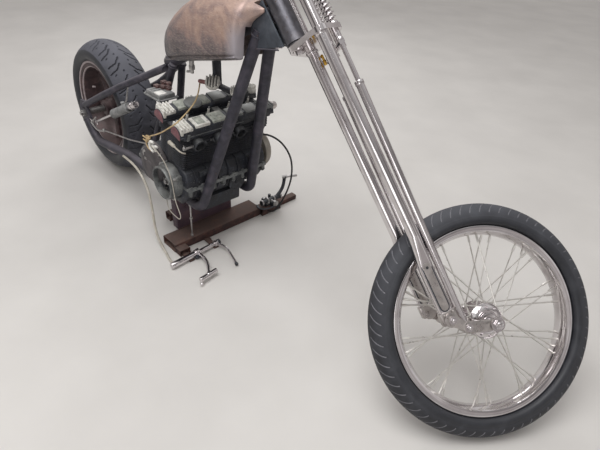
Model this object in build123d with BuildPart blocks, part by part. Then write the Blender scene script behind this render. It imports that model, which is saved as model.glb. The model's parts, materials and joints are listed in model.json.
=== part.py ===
from build123d import *
from math import cos, radians, sin, sqrt, tan
import os

# Rigid-frame chopper with a long springer fork, standing on a low work stand.
# Millimetres. X forward, Y left, Z up. The origin is on the floor, in the frame's
# centre plane, at the middle of the work stand.

# Wheels
REAR_AXLE_X = -700.0
REAR_TYRE_R = 325.0
REAR_TYRE_W = 190.0
REAR_RIM_R = 216.0
REAR_RIM_W = 140.0
FRONT_TYRE_R = 346.0
FRONT_TYRE_W = 90.0
FRONT_RIM_R = 267.0
FRONT_RIM_W = 54.0

# Fork, measured in its own frame along the steering axis
RAKE = radians(42.5)
STEER = radians(63.0)
HEAD_X = 637.0
HEAD_LENGTH = 200.0
LEG_X = 53.5
LEG_Y = 72.5
LEG_LENGTH = 893.0
AXLE_AHEAD = 106.0
AXLE_BELOW = 69.0

# Frame tubes
TUBE_R = 20.0
BACKBONE_R = 25.0
STAY_R = 15.0
RAIL_Z = 230.0
RAIL_Y = 122.0
PLATE_Y = 152.0

# Engine: crankshaft centre and forward lean of the cylinders
CRANK = (177.0, 353.0)
LEAN = radians(15)

# Steering axis, and the directions of the turned fork
steer_axis = Vector(-sin(RAKE), 0, cos(RAKE))
straight_ahead = Vector(cos(RAKE), 0, sin(RAKE))
fork_forward = straight_ahead * cos(STEER) + Vector(0, sin(STEER), 0)
fork_left = steer_axis.cross(fork_forward)

# The front tyre just touches the floor, which sets the height of the head
tread_r = FRONT_TYRE_W / 2
axle_x = LEG_X + AXLE_AHEAD
axle_z = -LEG_LENGTH - AXLE_BELOW
touch_height = (FRONT_TYRE_R - tread_r) * sqrt(1 - fork_left.Z**2) + tread_r
head_z = touch_height - axle_x * fork_forward.Z - axle_z * steer_axis.Z
head_base = Vector(HEAD_X, 0, head_z)

pieces = {}


def head_point(x, y, z):
    """A point by the steering head: x ahead, y left, z up the steering axis."""
    return head_base + straight_ahead * x + Vector(0, y, 0) + steer_axis * z


def fork_point(x, y, z):
    """The same for the turned fork."""
    return head_base + fork_forward * x + fork_left * y + steer_axis * z


def fork_level(z, x=0.0, y=0.0):
    """A plane square to the steering axis."""
    return Plane(origin=fork_point(x, y, z), x_dir=fork_forward, z_dir=steer_axis)


def fork_side(y):
    """A plane along the turned fork: x ahead, y up the legs, its normal to the right."""
    return Plane(origin=fork_point(0, y, 0), x_dir=fork_forward, z_dir=-fork_left)


def side_plane(y):
    """An upright plane along the bike: x forward, y up, its normal to the right."""
    return Plane(origin=(0, y, 0), x_dir=(1, 0, 0), z_dir=(0, -1, 0))


def wheel_section(centre, across, ahead):
    """A half-section plane for a wheel: x across the tyre, y out from the axle."""
    return Plane(origin=centre, x_dir=across, z_dir=ahead)


def bent_bar(points, bends, radius):
    """A round bar or tube along straight runs joined by bends."""
    with BuildPart() as bar:
        with BuildLine() as path:
            if bends:
                FilletPolyline(*points, radius=bends)
            else:
                Line(*points)
        with BuildSketch(Plane(origin=path.line @ 0, z_dir=path.line % 0)):
            Circle(radius)
        sweep(path=path.line)
    return bar.part


def round_bar(start, end, radius):
    """A straight round bar from one point to another."""
    run = Vector(*end) - Vector(*start)
    with BuildPart() as bar:
        with BuildSketch(Plane(origin=start, z_dir=run.normalized())):
            Circle(radius)
        extrude(amount=run.length)
    return bar.part


def block(low, high):
    """A block between two corners."""
    with BuildPart() as bar:
        with Locations(tuple((a + b) / 2 for a, b in zip(low, high))):
            Box(*[b - a for a, b in zip(low, high)])
    return bar.part


def side_of(point, sign):
    """The point, or its mirror image on the right."""
    return (point[0], sign * point[1], point[2])


def arc_radii(points):
    """The bend at each corner of a cord: as large as its two runs allow."""
    radii = []
    for before, corner, after in zip(points, points[1:], points[2:]):
        run_in = Vector(*corner) - Vector(*before)
        run_out = Vector(*after) - Vector(*corner)
        turn = radians(run_in.get_angle(run_out))
        radii.append(0.45 * min(run_in.length, run_out.length) / tan(turn / 2))
    return radii


# Work stand: a beam across under the engine with a long left arm, a rear beam, a spine
# between them, a riser saddle that carries the two lower rails, and toes on the floor
STAND_BAR = 40.0
BEAM_FRONT = 175.0
BEAM_REAR = 80.0
BACK_BEAM = (-80.0, -40.0)
FOOT_Y = 215.0
LEFT_ARM_Y = 480.0
ARM_REAR = 140.0
ARM_FRONT = 192.0
ARM_TOP = 25.0
PAD_Y = (250.0, 362.0)
RISER = (46.0, 86.0)
RISER_HALF = 144.0
RISER_TOP = 160.0
POST_IN = 98.0
END_BLOCK = (213.0, 30.0)
TOE = 6.0
with BuildPart() as work_stand:
    add(block((BEAM_REAR, -FOOT_Y, 0), (BEAM_FRONT, PAD_Y[0], STAND_BAR)))
    add(block((ARM_REAR, PAD_Y[0], 0), (ARM_FRONT, PAD_Y[1], STAND_BAR)))
    add(block((ARM_REAR, PAD_Y[1], 0), (BEAM_FRONT, LEFT_ARM_Y, ARM_TOP)))
    add(block((BEAM_REAR, -FOOT_Y, 0), (END_BLOCK[0], -FOOT_Y + 50, END_BLOCK[1])))
    add(block((BACK_BEAM[0], -110, 0), (BACK_BEAM[1], 110, STAND_BAR)))
    for y in (-80, 0, 80):
        add(block((BACK_BEAM[0], y - STAND_BAR / 2, 0), (BEAM_FRONT, y + STAND_BAR / 2, STAND_BAR)))
    add(block((RISER[0], -RISER_HALF, STAND_BAR), (RISER[1], RISER_HALF, RISER_TOP)))
    for low, high in ((-RISER_HALF, -POST_IN), (POST_IN, RISER_HALF)):
        add(block((RISER[0], low, RISER_TOP), (RISER[1], high, RAIL_Z - TUBE_R)))
    for y, reach in ((-190, 268), (-60, 256)):
        add(block((BEAM_FRONT, y - 12, 0), (reach, y + 12, TOE)))
pieces["work_stand"] = work_stand.part

# Steering head: a plain steel tube
STEM_R = 13.0
HEAD_R = 31.0
with BuildPart() as head_tube:
    with BuildSketch(fork_level(0)):
        Circle(HEAD_R)
        Circle(STEM_R + 5, mode=Mode.SUBTRACT)
    extrude(amount=HEAD_LENGTH)
pieces["head_tube"] = head_tube.part

# Backbone from the rail junction to the middle of the head
BACKBONE_REAR = (-100, 0, 703)
backbone_front = head_point(3 - HEAD_R, 0, 110)
pieces["backbone"] = round_bar(BACKBONE_REAR, backbone_front, BACKBONE_R)

# Two plates that box in the neck between the downtubes and the head
NECK_Y = 34.0
NECK_PLATE = 6.0
neck_low = head_point(-20, 0, 4)
neck_high = head_point(-20, 0, 150)
with BuildPart() as neck_gussets:
    for y in (-NECK_Y, NECK_Y):
        with BuildSketch(side_plane(y)):
            with BuildLine():
                Polyline((468, 893), (neck_low.X, neck_low.Z), (neck_high.X, neck_high.Z), (480, 990),
                         close=True)
            make_face()
        extrude(amount=NECK_PLATE / 2, both=True)
pieces["neck_gussets"] = neck_gussets.part

# The left and right tubes of the frame
DOWNTUBE_TOP = (500, 24, 955)
CRADLE_CORNER = (258, RAIL_Y, RAIL_Z)
RAIL_JOIN = (150, RAIL_Y, RAIL_Z)
RAIL_WAIST = (-330, 130, RAIL_Z)
RAIL_KICK = (-640, 148, 196)
RAIL_END = (-704, PLATE_Y, 292)
UPPER_END = (-724, PLATE_Y, 352)
UPPER_MIDDLE = (-470, 138, 485)
UPPER_WAIST = (-340, 108, 555)
UPPER_TOP = (-92, 26, 686)
AXLE_PLATE = ((-742, 380), (-765, 318), (-735, 280), (-668, 276), (-652, 306), (-690, 385))
PLATE_THICK = 12.0
for side, sign in (("left", 1), ("right", -1)):
    down_path = [side_of(p, sign) for p in (DOWNTUBE_TOP, CRADLE_CORNER, RAIL_JOIN)]
    pieces["downtube_" + side] = bent_bar(down_path, [60], TUBE_R)
    lower_path = [side_of(p, sign) for p in (RAIL_JOIN, RAIL_WAIST, RAIL_KICK, RAIL_END)]
    pieces["lower_rail_" + side] = bent_bar(lower_path, [600, 90], TUBE_R)
    upper_path = [side_of(p, sign) for p in (UPPER_END, UPPER_MIDDLE, UPPER_WAIST, UPPER_TOP)]
    pieces["upper_rail_" + side] = bent_bar(upper_path, [200, 200], STAY_R)
    with BuildPart() as axle_plate:
        with BuildSketch(side_plane(sign * PLATE_Y)):
            with BuildLine():
                Polyline(*AXLE_PLATE, close=True)
            make_face()
            with Locations((REAR_AXLE_X, REAR_TYRE_R)):
                Circle(10.0, mode=Mode.SUBTRACT)
        extrude(amount=PLATE_THICK / 2, both=True)
    pieces["axle_plate_" + side] = axle_plate.part

# Two stays from the backbone down to the lower rails, and the cross tubes
STAY_TOP = (-40, 20, 712)
STAY_FOOT = (-235, 70, RAIL_Z)
with BuildPart() as seat_stays:
    for sign in (1, -1):
        add(round_bar(side_of(STAY_TOP, sign), side_of(STAY_FOOT, sign), STAY_R))
pieces["seat_stays"] = seat_stays.part
with BuildPart() as frame_crossbars:
    add(round_bar((STAY_FOOT[0], -RAIL_Y - 4, RAIL_Z), (STAY_FOOT[0], RAIL_Y + 4, RAIL_Z), STAY_R))
pieces["frame_crossbars"] = frame_crossbars.part

# Engine mounts: a plate on each downtube and a block on each lower rail
MOUNT_PLATE_LOW = (262.0, 103.0, 318.0)
MOUNT_PLATE_HIGH = (296.0, 112.0, 352.0)
MOUNT_BLOCK_LOW = (60.0, 112.0, 242.0)
MOUNT_BLOCK_HIGH = (100.0, 132.0, 262.0)
with BuildPart() as engine_mounts:
    for low, high in ((MOUNT_PLATE_LOW, MOUNT_PLATE_HIGH), (MOUNT_BLOCK_LOW, MOUNT_BLOCK_HIGH)):
        add(block(low, high))
        add(block((low[0], -high[1], low[2]), (high[0], -low[1], high[2])))
pieces["engine_mounts"] = engine_mounts.part

# Fuel tank: side view, plan and front view cut from each other, then the recesses for the
# backbone, behind the front panels, and between the two wings that reach past the neck
TANK_HALF = 130.0
TANK_TOP = 1050.0
TANK_SHOULDER = 100.0
TUNNEL_HALF = 34.0
RECESS_HALF = 62.0
NECK_GAP_HALF = 42.0
with BuildPart() as fuel_tank:
    with BuildSketch(side_plane(0)):
        with BuildLine():
            Polyline((30, 800), (62, 757), (440, 852), (466, 868), (470, 978), (548, 1020), (543, 1030))
            ThreePointArc((543, 1030), (390, 1044), (262, 1030))
            ThreePointArc((262, 1030), (130, 950), (30, 800))
        make_face()
    extrude(amount=TANK_HALF + 20, both=True)
    with BuildSketch(Plane.XY.offset(700)):
        with BuildLine():
            ThreePointArc((105, -124), (4, 0), (105, 124))
            ThreePointArc((105, 124), (210, TANK_HALF), (340, 119))
            Polyline((340, 119), (468, 99), (470, 68), (552, 52), (552, -52), (470, -68), (468, -99),
                     (340, -119))
            ThreePointArc((340, -119), (210, -TANK_HALF), (105, -124))
        make_face()
    extrude(amount=400, mode=Mode.INTERSECT)
    with BuildSketch(Plane.YZ):
        with Locations((0, TANK_TOP - 200)):
            RectangleRounded(2 * TANK_HALF + 2, 400, TANK_SHOULDER)
    extrude(amount=600, mode=Mode.INTERSECT)
    for half, outline in (
        (TUNNEL_HALF, ((-60, 600), (-60, 750), (560, 1053), (560, 600))),
        (RECESS_HALF, ((400, 600), (400, 958), (474, 996), (474, 600))),
        (NECK_GAP_HALF, ((440, 600), (440, 979), (490, 1005), (490, 1100), (600, 1100), (600, 600))),
    ):
        with BuildSketch(Plane.XZ):
            with BuildLine():
                Polyline(*outline, close=True)
            make_face()
        extrude(amount=half, both=True, mode=Mode.SUBTRACT)
pieces["fuel_tank"] = fuel_tank.part

# Engine: crankcase with the gearbox behind it and the sump below
CASE_HALF = 190.0
GEARBOX_LEFT = 92.0
crank_x, crank_z = CRANK
CASE_FRONT = ((66, -78), (108, 30), (93, 62), (-80, 103), (-110, 75), (-130, -101), (38, -101))
CASE_REAR = ((-110, 75), (-245, 50), (-278, 15), (-272, -85), (-240, -101), (-110, -101))
SUMP = ((-120, -95), (60, -95), (55, -165), (30, -177), (-80, -177), (-105, -160))


def engine_side(y):
    """An upright plane along the bike with its origin on the crankshaft's line."""
    return Plane(origin=(crank_x, y, crank_z), x_dir=(1, 0, 0), z_dir=(0, -1, 0))


with BuildPart() as crankcase:
    with BuildSketch(engine_side(0)):
        with BuildLine():
            Polyline(*CASE_FRONT, close=True)
        make_face()
    extrude(amount=CASE_HALF, both=True)
    with BuildSketch(engine_side(GEARBOX_LEFT)):
        with BuildLine():
            Polyline(*CASE_REAR, close=True)
        make_face()
    extrude(amount=CASE_HALF + GEARBOX_LEFT)
    with BuildSketch(engine_side(0)):
        with BuildLine():
            Polyline(*SUMP, close=True)
        make_face()
    extrude(amount=88, both=True)
pieces["crankcase"] = crankcase.part

# The cylinders lean forward and stand a little behind the crankshaft's line: x ahead, y left,
# z up the cylinders
CYLINDERS_BEHIND = 28.0
engine_plane = Plane(origin=(crank_x - CYLINDERS_BEHIND, 0, crank_z), x_dir=(cos(LEAN), 0, -sin(LEAN)),
                     z_dir=(sin(LEAN), 0, cos(LEAN)))
BLOCK_Z = 92.0
HEAD_Z = 186.0
COVER_Z = 248.0
CYLINDER_Y = (-138, -46, 46, 138)


def engine_level(z):
    """A plane square to the cylinders."""
    return engine_plane.offset(z)


def engine_upright(y):
    """A plane across the engine: x ahead, y up the cylinders, its normal to the right."""
    origin = engine_plane.from_local_coords((0, y, 0))
    return Plane(origin=origin, x_dir=engine_plane.x_dir, z_dir=(0, -1, 0))


FIN_COUNT = 9
with BuildPart() as cylinder_block:
    with BuildSketch(engine_level(BLOCK_Z)):
        Rectangle(126, 356)
    extrude(amount=HEAD_Z - BLOCK_Z)
    for fin in range(FIN_COUNT):
        with BuildSketch(engine_level(BLOCK_Z + 6 + fin * 10)):
            RectangleRounded(168, 388, 18)
        extrude(amount=3)
pieces["cylinder_block"] = cylinder_block.part

with BuildPart() as cylinder_head:
    with BuildSketch(engine_level(HEAD_Z)):
        RectangleRounded(186, 392, 14)
    extrude(amount=COVER_Z - HEAD_Z)
    for y in CYLINDER_Y:
        port = engine_plane.from_local_coords((90, y, HEAD_Z + 24))
        with BuildSketch(Plane(origin=port, z_dir=(cos(0.35), 0, -sin(0.35)))):
            Circle(24)
        extrude(amount=26)
        inlet = engine_plane.from_local_coords((-90, y, HEAD_Z + 30))
        with BuildSketch(Plane(origin=inlet, z_dir=(-cos(0.25), 0, sin(0.25)))):
            Circle(23)
        extrude(amount=28)
pieces["cylinder_head"] = cylinder_head.part

CAM_X = 56.0
CAM_HALF = 212.0
with BuildPart() as cam_covers:
    for x in (-CAM_X, CAM_X):
        with BuildSketch(engine_upright(0)):
            with BuildLine():
                Polyline((x - 34, COVER_Z), (x - 34, COVER_Z + 16), (x - 20, COVER_Z + 40))
                Polyline((x - 20, COVER_Z + 40), (x + 20, COVER_Z + 40), (x + 34, COVER_Z + 16))
                Polyline((x + 34, COVER_Z + 16), (x + 34, COVER_Z), (x - 34, COVER_Z))
            make_face()
        extrude(amount=CAM_HALF, both=True)
pieces["cam_covers"] = cam_covers.part

# Round covers on both sides of the crankcase
CLUTCH = (CRANK[0] - 114.0, CRANK[1] + 23.0)
with BuildPart() as engine_covers_right:
    with BuildSketch(side_plane(-CASE_HALF)):
        with Locations(CRANK):
            Circle(68)
    extrude(amount=52)
    with BuildSketch(side_plane(-CASE_HALF)):
        with Locations(CLUTCH):
            Circle(92)
    extrude(amount=36)
pieces["engine_covers_right"] = engine_covers_right.part

# The dome of the alternator stands ahead of and above its flange
DOME = (CRANK[0] + 14.0, CRANK[1] + 24.0)
with BuildPart() as alternator_cover:
    with BuildSketch(side_plane(CASE_HALF)):
        with Locations(CRANK):
            Circle(84)
    extrude(amount=-12)
    with BuildSketch(side_plane(CASE_HALF + 10)):
        with Locations(DOME):
            Circle(84)
    extrude(amount=-26)
    with BuildSketch(side_plane(CASE_HALF + 36)):
        with Locations(DOME):
            Circle(80)
    extrude(amount=-20, taper=28)
pieces["alternator_cover"] = alternator_cover.part

# Rear wheel spindle, with a spacer and a nut at each end
AXLE_R = 10.0
HUB_HALF = 62.0
rear_centre = (REAR_AXLE_X, 0, REAR_TYRE_R)
with BuildPart() as rear_axle:
    add(round_bar((REAR_AXLE_X, -185, REAR_TYRE_R), (REAR_AXLE_X, 185, REAR_TYRE_R), AXLE_R))
    for sign in (1, -1):
        inner = sign * (HUB_HALF + 2)
        face = sign * (PLATE_Y - PLATE_THICK / 2)
        add(round_bar((REAR_AXLE_X, inner, REAR_TYRE_R), (REAR_AXLE_X, face, REAR_TYRE_R), 17))
        out_face = sign * (PLATE_Y + PLATE_THICK / 2)
        with BuildSketch(Plane(origin=(REAR_AXLE_X, out_face, REAR_TYRE_R), z_dir=(0, sign, 0))):
            RegularPolygon(17, 6)
        extrude(amount=16)
pieces["rear_axle"] = rear_axle.part

# Rear wheel: fat tyre on a cast five-spoke wheel
rear_section = wheel_section(rear_centre, (0, 1, 0), (1, 0, 0))
rear_spin = Axis(rear_centre, (0, 1, 0))


BEAD = 16.0


def tyre(section, spin, seat_r, seat_half, edge_r, half, wall_r, outer_r):
    """A tyre turned from its section: bead, wall, tread edge and crown."""
    edge = half * 0.93
    with BuildPart() as turned:
        with BuildSketch(section):
            with BuildLine():
                Polyline((seat_half, seat_r + BEAD), (seat_half, seat_r), (-seat_half, seat_r),
                         (-seat_half, seat_r + BEAD))
                ThreePointArc((-seat_half, seat_r + BEAD), (-half, wall_r), (-edge, edge_r))
                ThreePointArc((-edge, edge_r), (0, outer_r), (edge, edge_r))
                ThreePointArc((edge, edge_r), (half, wall_r), (seat_half, seat_r + BEAD))
            make_face()
        revolve(axis=spin)
    return turned.part


pieces["rear_tyre"] = tyre(rear_section, rear_spin, REAR_RIM_R, REAR_RIM_W / 2 - 2, 286,
                           REAR_TYRE_W / 2, 262, REAR_TYRE_R)

half = REAR_RIM_W / 2
with BuildPart() as rear_rim:
    with BuildSketch(rear_section):
        with BuildLine():
            Polyline((-half - 8, REAR_RIM_R + 13), (-half, REAR_RIM_R + 13), (-half, REAR_RIM_R - 1),
                     (half, REAR_RIM_R - 1), (half, REAR_RIM_R + 13), (half + 8, REAR_RIM_R + 13),
                     (half + 8, REAR_RIM_R - 8), (half - 20, REAR_RIM_R - 18), (20, REAR_RIM_R - 30),
                     (-20, REAR_RIM_R - 30), (-half + 20, REAR_RIM_R - 18), (-half - 8, REAR_RIM_R - 8),
                     close=True)
        make_face()
        with Locations((0, (AXLE_R + 38) / 2 + 0.04)):
            Rectangle(2 * HUB_HALF, 38 - AXLE_R - 0.08)
    revolve(axis=rear_spin)
    with BuildSketch(side_plane(0)):
        with Locations((REAR_AXLE_X, REAR_TYRE_R)):
            with PolarLocations(REAR_RIM_R / 2 + 4, 5, start_angle=90):
                Rectangle(REAR_RIM_R - 52, 46)
    extrude(amount=15, both=True)
pieces["rear_rim"] = rear_rim.part

# Final drive on the left
CHAIN_Y = 113.0
FRONT_SPROCKET = (CRANK[0] - 210.0, CRANK[1] - 15.0)
FRONT_SPROCKET_R = 43.2
REAR_SPROCKET_R = 111.3
CHAIN_HALF = 7.5
with BuildPart() as rear_sprocket:
    with BuildSketch(side_plane(CHAIN_Y)):
        with Locations((REAR_AXLE_X, REAR_TYRE_R)):
            Circle(REAR_SPROCKET_R - CHAIN_HALF - 2)
            Circle(20, mode=Mode.SUBTRACT)
    extrude(amount=3, both=True)
    with BuildSketch(side_plane(CHAIN_Y - 3)):
        with Locations((REAR_AXLE_X, REAR_TYRE_R)):
            Circle(58)
            Circle(20, mode=Mode.SUBTRACT)
    extrude(amount=CHAIN_Y - 3 - HUB_HALF)
pieces["rear_sprocket"] = rear_sprocket.part

with BuildPart() as drive_chain:
    for grow, mode in ((CHAIN_HALF, Mode.ADD), (-CHAIN_HALF, Mode.SUBTRACT)):
        with BuildSketch(side_plane(CHAIN_Y)):
            with Locations((REAR_AXLE_X, REAR_TYRE_R)):
                Circle(REAR_SPROCKET_R + grow)
            with Locations(FRONT_SPROCKET):
                Circle(FRONT_SPROCKET_R + grow)
            make_hull()
        extrude(amount=9, both=True, mode=mode)
pieces["drive_chain"] = drive_chain.part

with BuildPart() as front_sprocket:
    with BuildSketch(side_plane(GEARBOX_LEFT)):
        with Locations(FRONT_SPROCKET):
            Circle(16)
    extrude(amount=-34)
    with BuildSketch(side_plane(CHAIN_Y)):
        with Locations(FRONT_SPROCKET):
            Circle(FRONT_SPROCKET_R - CHAIN_HALF - 2)
    extrude(amount=5, both=True)
pieces["front_sprocket"] = front_sprocket.part

# Rear brake cylinder, its bright rod and clevis, between the right-hand rails
CLEVIS = Vector(-600, -160, 308)
CYLINDER_TAIL = Vector(-240, -104, 503)
cylinder_run = (CYLINDER_TAIL - CLEVIS).normalized()
with BuildPart() as brake_cylinder:
    add(round_bar(CLEVIS, CLEVIS + cylinder_run * 220, 6))
    add(round_bar(CLEVIS + cylinder_run * 205, CLEVIS + cylinder_run * 350, 22))
    add(round_bar(CLEVIS + cylinder_run * 350, CYLINDER_TAIL, 15))
    add(block((-615, -168, 296), (-588, -152, 320)))
    add(round_bar((-655, -156, 306), (-606, -159, 308), 7))
pieces["brake_cylinder"] = brake_cylinder.part

# Electrics: a flat box behind the cam covers on a strap from the right stay
with BuildPart() as electrics_box:
    add(block((-75, -140, 607), (40, -58, 632)))
    add(block((-95, -90, 601), (-55, -36, 607)))
pieces["electrics_box"] = electrics_box.part

# Regulator: two bright round pots and a sleeve on a bracket that hangs from the backbone
POT_LOOKS = (0.5, -0.5, 0.7)
with BuildPart() as regulator:
    for x, y, radius in ((232, -22, 28), (350, -10, 18)):
        with BuildSketch(Plane(origin=(x, y, 712), z_dir=POT_LOOKS)):
            Circle(radius)
        extrude(amount=24)
    add(block((222, -16, 700), (364, 8, 712)))
    add(block((222, -16, 700), (236, 16, 834)))
    add(round_bar((150, -24, 700), (222, -15, 708), 8))
pieces["regulator"] = regulator.part

# Right foot control, resting on the toes of the stand: cross bar, pedal lever and peg
BAR_R = 13.0
bar_z = TOE + BAR_R
with BuildPart() as foot_control_right:
    add(round_bar((260, -285, bar_z), (244, -38, bar_z), BAR_R))
    add(bent_bar([(252, -155, bar_z), (330, -158, bar_z + 6), (404, -200, 24)], [60], 7))
    add(round_bar((411, -246, 24), (400, -162, 24), 10))
    add(bent_bar([(246, -60, bar_z), (300, -42, bar_z + 5), (412, -70, 12)], [60], 6))
pieces["foot_control_right"] = foot_control_right.part

# Left foot control, standing on the long arm of the stand
with BuildPart() as foot_control_left:
    add(block((150, 270, STAND_BAR), (205, 345, 78)))
    add(round_bar((178, 250, 66), (178, 372, 66), 12))
    add(bent_bar([(178, 340, 66), (178, 385, 100), (172, 400, 160)], [30], 9))
    add(round_bar((168, 392, 156), (202, 452, 160), 6))
pieces["foot_control_left"] = foot_control_left.part

# Cords: brake hose, clutch cable and ignition wire, each a tube along its route
HOSE_R = 5.0
CABLE_R = 4.0
WIRE_R = 2.5
hose_route = [(-330, -160, 236), (-285, -165, 243), (-230, -170, 248), (-175, -176, 248), (-120, -184, 243),
              (-68, -194, 231), (-20, -206, 208), (14, -218, 172), (34, -226, 125), (48, -232, 76),
              (72, -237, 36), (112, -242, 14), (160, -250, 6), (206, -262, 6), (240, -264, 7)]
cable_route = [(239, 196, 458), (249, 216, 456), (257, 248, 440), (262, 286, 408), (266, 320, 364),
               (268, 346, 312), (266, 358, 254), (262, 358, 196), (254, 347, 141), (245, 327, 92),
               (234, 306, 50), (220, 290, 26), (ARM_FRONT - 3, 280, 20)]
wire_route = [(166, -34, 700), (186, -52, 689), (210, -74, 677), (238, -103, 668), (268, -144, 660),
              (291, -186, 651), (298, -212, 640), (284, -225, 624), (250, -228, 601), (204, -229, 570),
              (152, -229, 541), (108, -229, 520), (80, -230, 502), (72, -231, 482), (84, -232, 466),
              (108, -232, 460)]
for name, route, radius in (("brake_hose", hose_route, HOSE_R), ("clutch_cable", cable_route, CABLE_R),
                            ("ignition_wire", wire_route, WIRE_R)):
    bends = arc_radii(route)
    print(name, "tightest bends", [round(bend) for bend in sorted(bends)[:3]])
    pieces[name] = bent_bar(route, bends, radius)

# Fork stem, with a cone against each end of the head
with BuildPart() as steering_stem:
    with BuildSketch(fork_level(-30)):
        Circle(STEM_R)
    extrude(amount=HEAD_LENGTH + 70)
    for z in (-7, HEAD_LENGTH + 1):
        with BuildSketch(fork_level(z)):
            Circle(25)
        extrude(amount=6)
pieces["steering_stem"] = steering_stem.part

# Yokes: plates that hold the legs and the spring perches
LEG_R = 17.0
SPRING_X = 108.0
SPRING_Y = 40.0
YOKE = 16.0
LOWER_YOKE_Z = -7.0 - YOKE
UPPER_YOKE_Z = HEAD_LENGTH + 7.0


def yoke(z):
    """One plate around the stem, the two legs and the two spring rods."""
    with BuildPart() as plate:
        with BuildSketch(fork_level(z)):
            with Locations((0, 0)):
                Circle(30)
            with Locations((LEG_X, -LEG_Y), (LEG_X, LEG_Y)):
                Circle(LEG_R + 9)
            with Locations((SPRING_X, -SPRING_Y), (SPRING_X, SPRING_Y)):
                Circle(19)
            make_hull()
            with Locations((LEG_X, -LEG_Y), (LEG_X, LEG_Y)):
                Circle(LEG_R, mode=Mode.SUBTRACT)
            Circle(STEM_R, mode=Mode.SUBTRACT)
        extrude(amount=YOKE)
    return plate.part


pieces["lower_yoke"] = yoke(LOWER_YOKE_Z)
pieces["upper_yoke"] = yoke(UPPER_YOKE_Z)

# Rear legs: tubes that flatten to blades above the rockers
BLADE_TOP = -640.0
BLADE_FULL = -740.0
BLADE_HALF = 22.0
BLADE_BACK = 8.0
BLADE_THICK = 20.0
BLADE_END = 12.0
REAR_PIVOT = (LEG_X - BLADE_BACK, -LEG_LENGTH)
with BuildPart() as rear_legs:
    for y in (-LEG_Y, LEG_Y):
        with BuildSketch(fork_level(BLADE_TOP, LEG_X, y)):
            Circle(LEG_R)
        extrude(amount=UPPER_YOKE_Z + YOKE + 8 - BLADE_TOP)
        with BuildSketch(fork_level(BLADE_TOP, LEG_X, y)):
            RectangleRounded(2 * LEG_R - 0.2, 2 * LEG_R - 0.2, LEG_R - 0.5)
        with BuildSketch(fork_level(BLADE_FULL, LEG_X - BLADE_BACK, y)):
            RectangleRounded(2 * BLADE_HALF, BLADE_THICK, BLADE_THICK / 2 - 0.5)
        loft()
        with BuildSketch(fork_level(-LEG_LENGTH - BLADE_END, LEG_X - BLADE_BACK, y)):
            RectangleRounded(2 * BLADE_HALF, BLADE_THICK, BLADE_THICK / 2 - 0.5)
        extrude(amount=BLADE_FULL + LEG_LENGTH + BLADE_END)
pieces["rear_legs"] = rear_legs.part

# Front legs: thin rods above, tubes below, hung from a cross bar under the springs
FRONT_LEG_R = 12.0
FRONT_LEG_TOP_X = 95.0
FRONT_PIVOT = (80.0, -933.0)
with BuildPart() as front_legs:
    for y in (-LEG_Y, LEG_Y):
        add(round_bar(fork_point(FRONT_LEG_TOP_X, y, -62), fork_point(94, y, -200), 7))
        leg_end = fork_point(FRONT_PIVOT[0], y, FRONT_PIVOT[1])
        add(round_bar(fork_point(94, y, -190), leg_end, FRONT_LEG_R))
    cross_ends = [fork_point(FRONT_LEG_TOP_X, y, -66) for y in (-LEG_Y - 8, LEG_Y + 8)]
    add(round_bar(*cross_ends, 9))
    for y in (-SPRING_Y, SPRING_Y):
        stub_low = fork_point(SPRING_X - 4, y, -74)
        add(round_bar(stub_low, fork_point(SPRING_X - 4, y, LOWER_YOKE_Z), 13))
pieces["front_legs"] = front_legs.part

with BuildPart() as fork_springs:
    for y in (-SPRING_Y, SPRING_Y):
        spring_low = fork_point(SPRING_X, y, LOWER_YOKE_Z + YOKE)
        add(round_bar(spring_low, fork_point(SPRING_X, y, UPPER_YOKE_Z), 17))
pieces["fork_springs"] = fork_springs.part

# Rockers: links outside the legs, from the leg's pivot to the axle
ROCKER_THICK = 13.0
ROCKER_Y = LEG_Y + BLADE_THICK / 2 + 1
with BuildPart() as rockers:
    for sign in (1, -1):
        inner = sign * ROCKER_Y
        with BuildSketch(fork_side(inner)):
            with Locations(REAR_PIVOT):
                Circle(22)
            with Locations(FRONT_PIVOT):
                Circle(18)
            with Locations((axle_x, axle_z)):
                Circle(21)
            make_hull()
        extrude(amount=-sign * ROCKER_THICK)
        for x, z in (REAR_PIVOT, FRONT_PIVOT):
            bolt_end = sign * (ROCKER_Y + ROCKER_THICK + 9)
            add(round_bar(fork_point(x, sign * (LEG_Y - 14), z), fork_point(x, bolt_end, z), 8))
pieces["rockers"] = rockers.part

FRONT_AXLE_R = 8.5
with BuildPart() as front_axle:
    add(round_bar(fork_point(axle_x, -118, axle_z), fork_point(axle_x, 118, axle_z), FRONT_AXLE_R))
    for sign in (1, -1):
        sleeve_in = fork_point(axle_x, sign * 52, axle_z)
        add(round_bar(sleeve_in, fork_point(axle_x, sign * ROCKER_Y, axle_z), 14))
        nut_face = fork_point(axle_x, sign * (ROCKER_Y + ROCKER_THICK), axle_z)
        nut_plane = Plane(origin=nut_face, z_dir=fork_left * sign)
        with BuildSketch(nut_plane):
            RegularPolygon(15, 6)
        extrude(amount=14)
pieces["front_axle"] = front_axle.part

# Risers and handlebar
RISER_X = 18.0
RISER_Y = 42.0
BAR_TUBE_R = 11.0
riser_base = UPPER_YOKE_Z + YOKE
bar_height = riser_base + 95
with BuildPart() as handlebar_risers:
    for y in (-RISER_Y, RISER_Y):
        riser_foot = fork_point(RISER_X, y, riser_base)
        add(round_bar(riser_foot, fork_point(RISER_X, y, bar_height - 8), 15))
        clamp_in = fork_point(RISER_X, y - 14, bar_height)
        add(round_bar(clamp_in, fork_point(RISER_X, y + 14, bar_height), 20))
pieces["handlebar_risers"] = handlebar_risers.part

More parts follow.
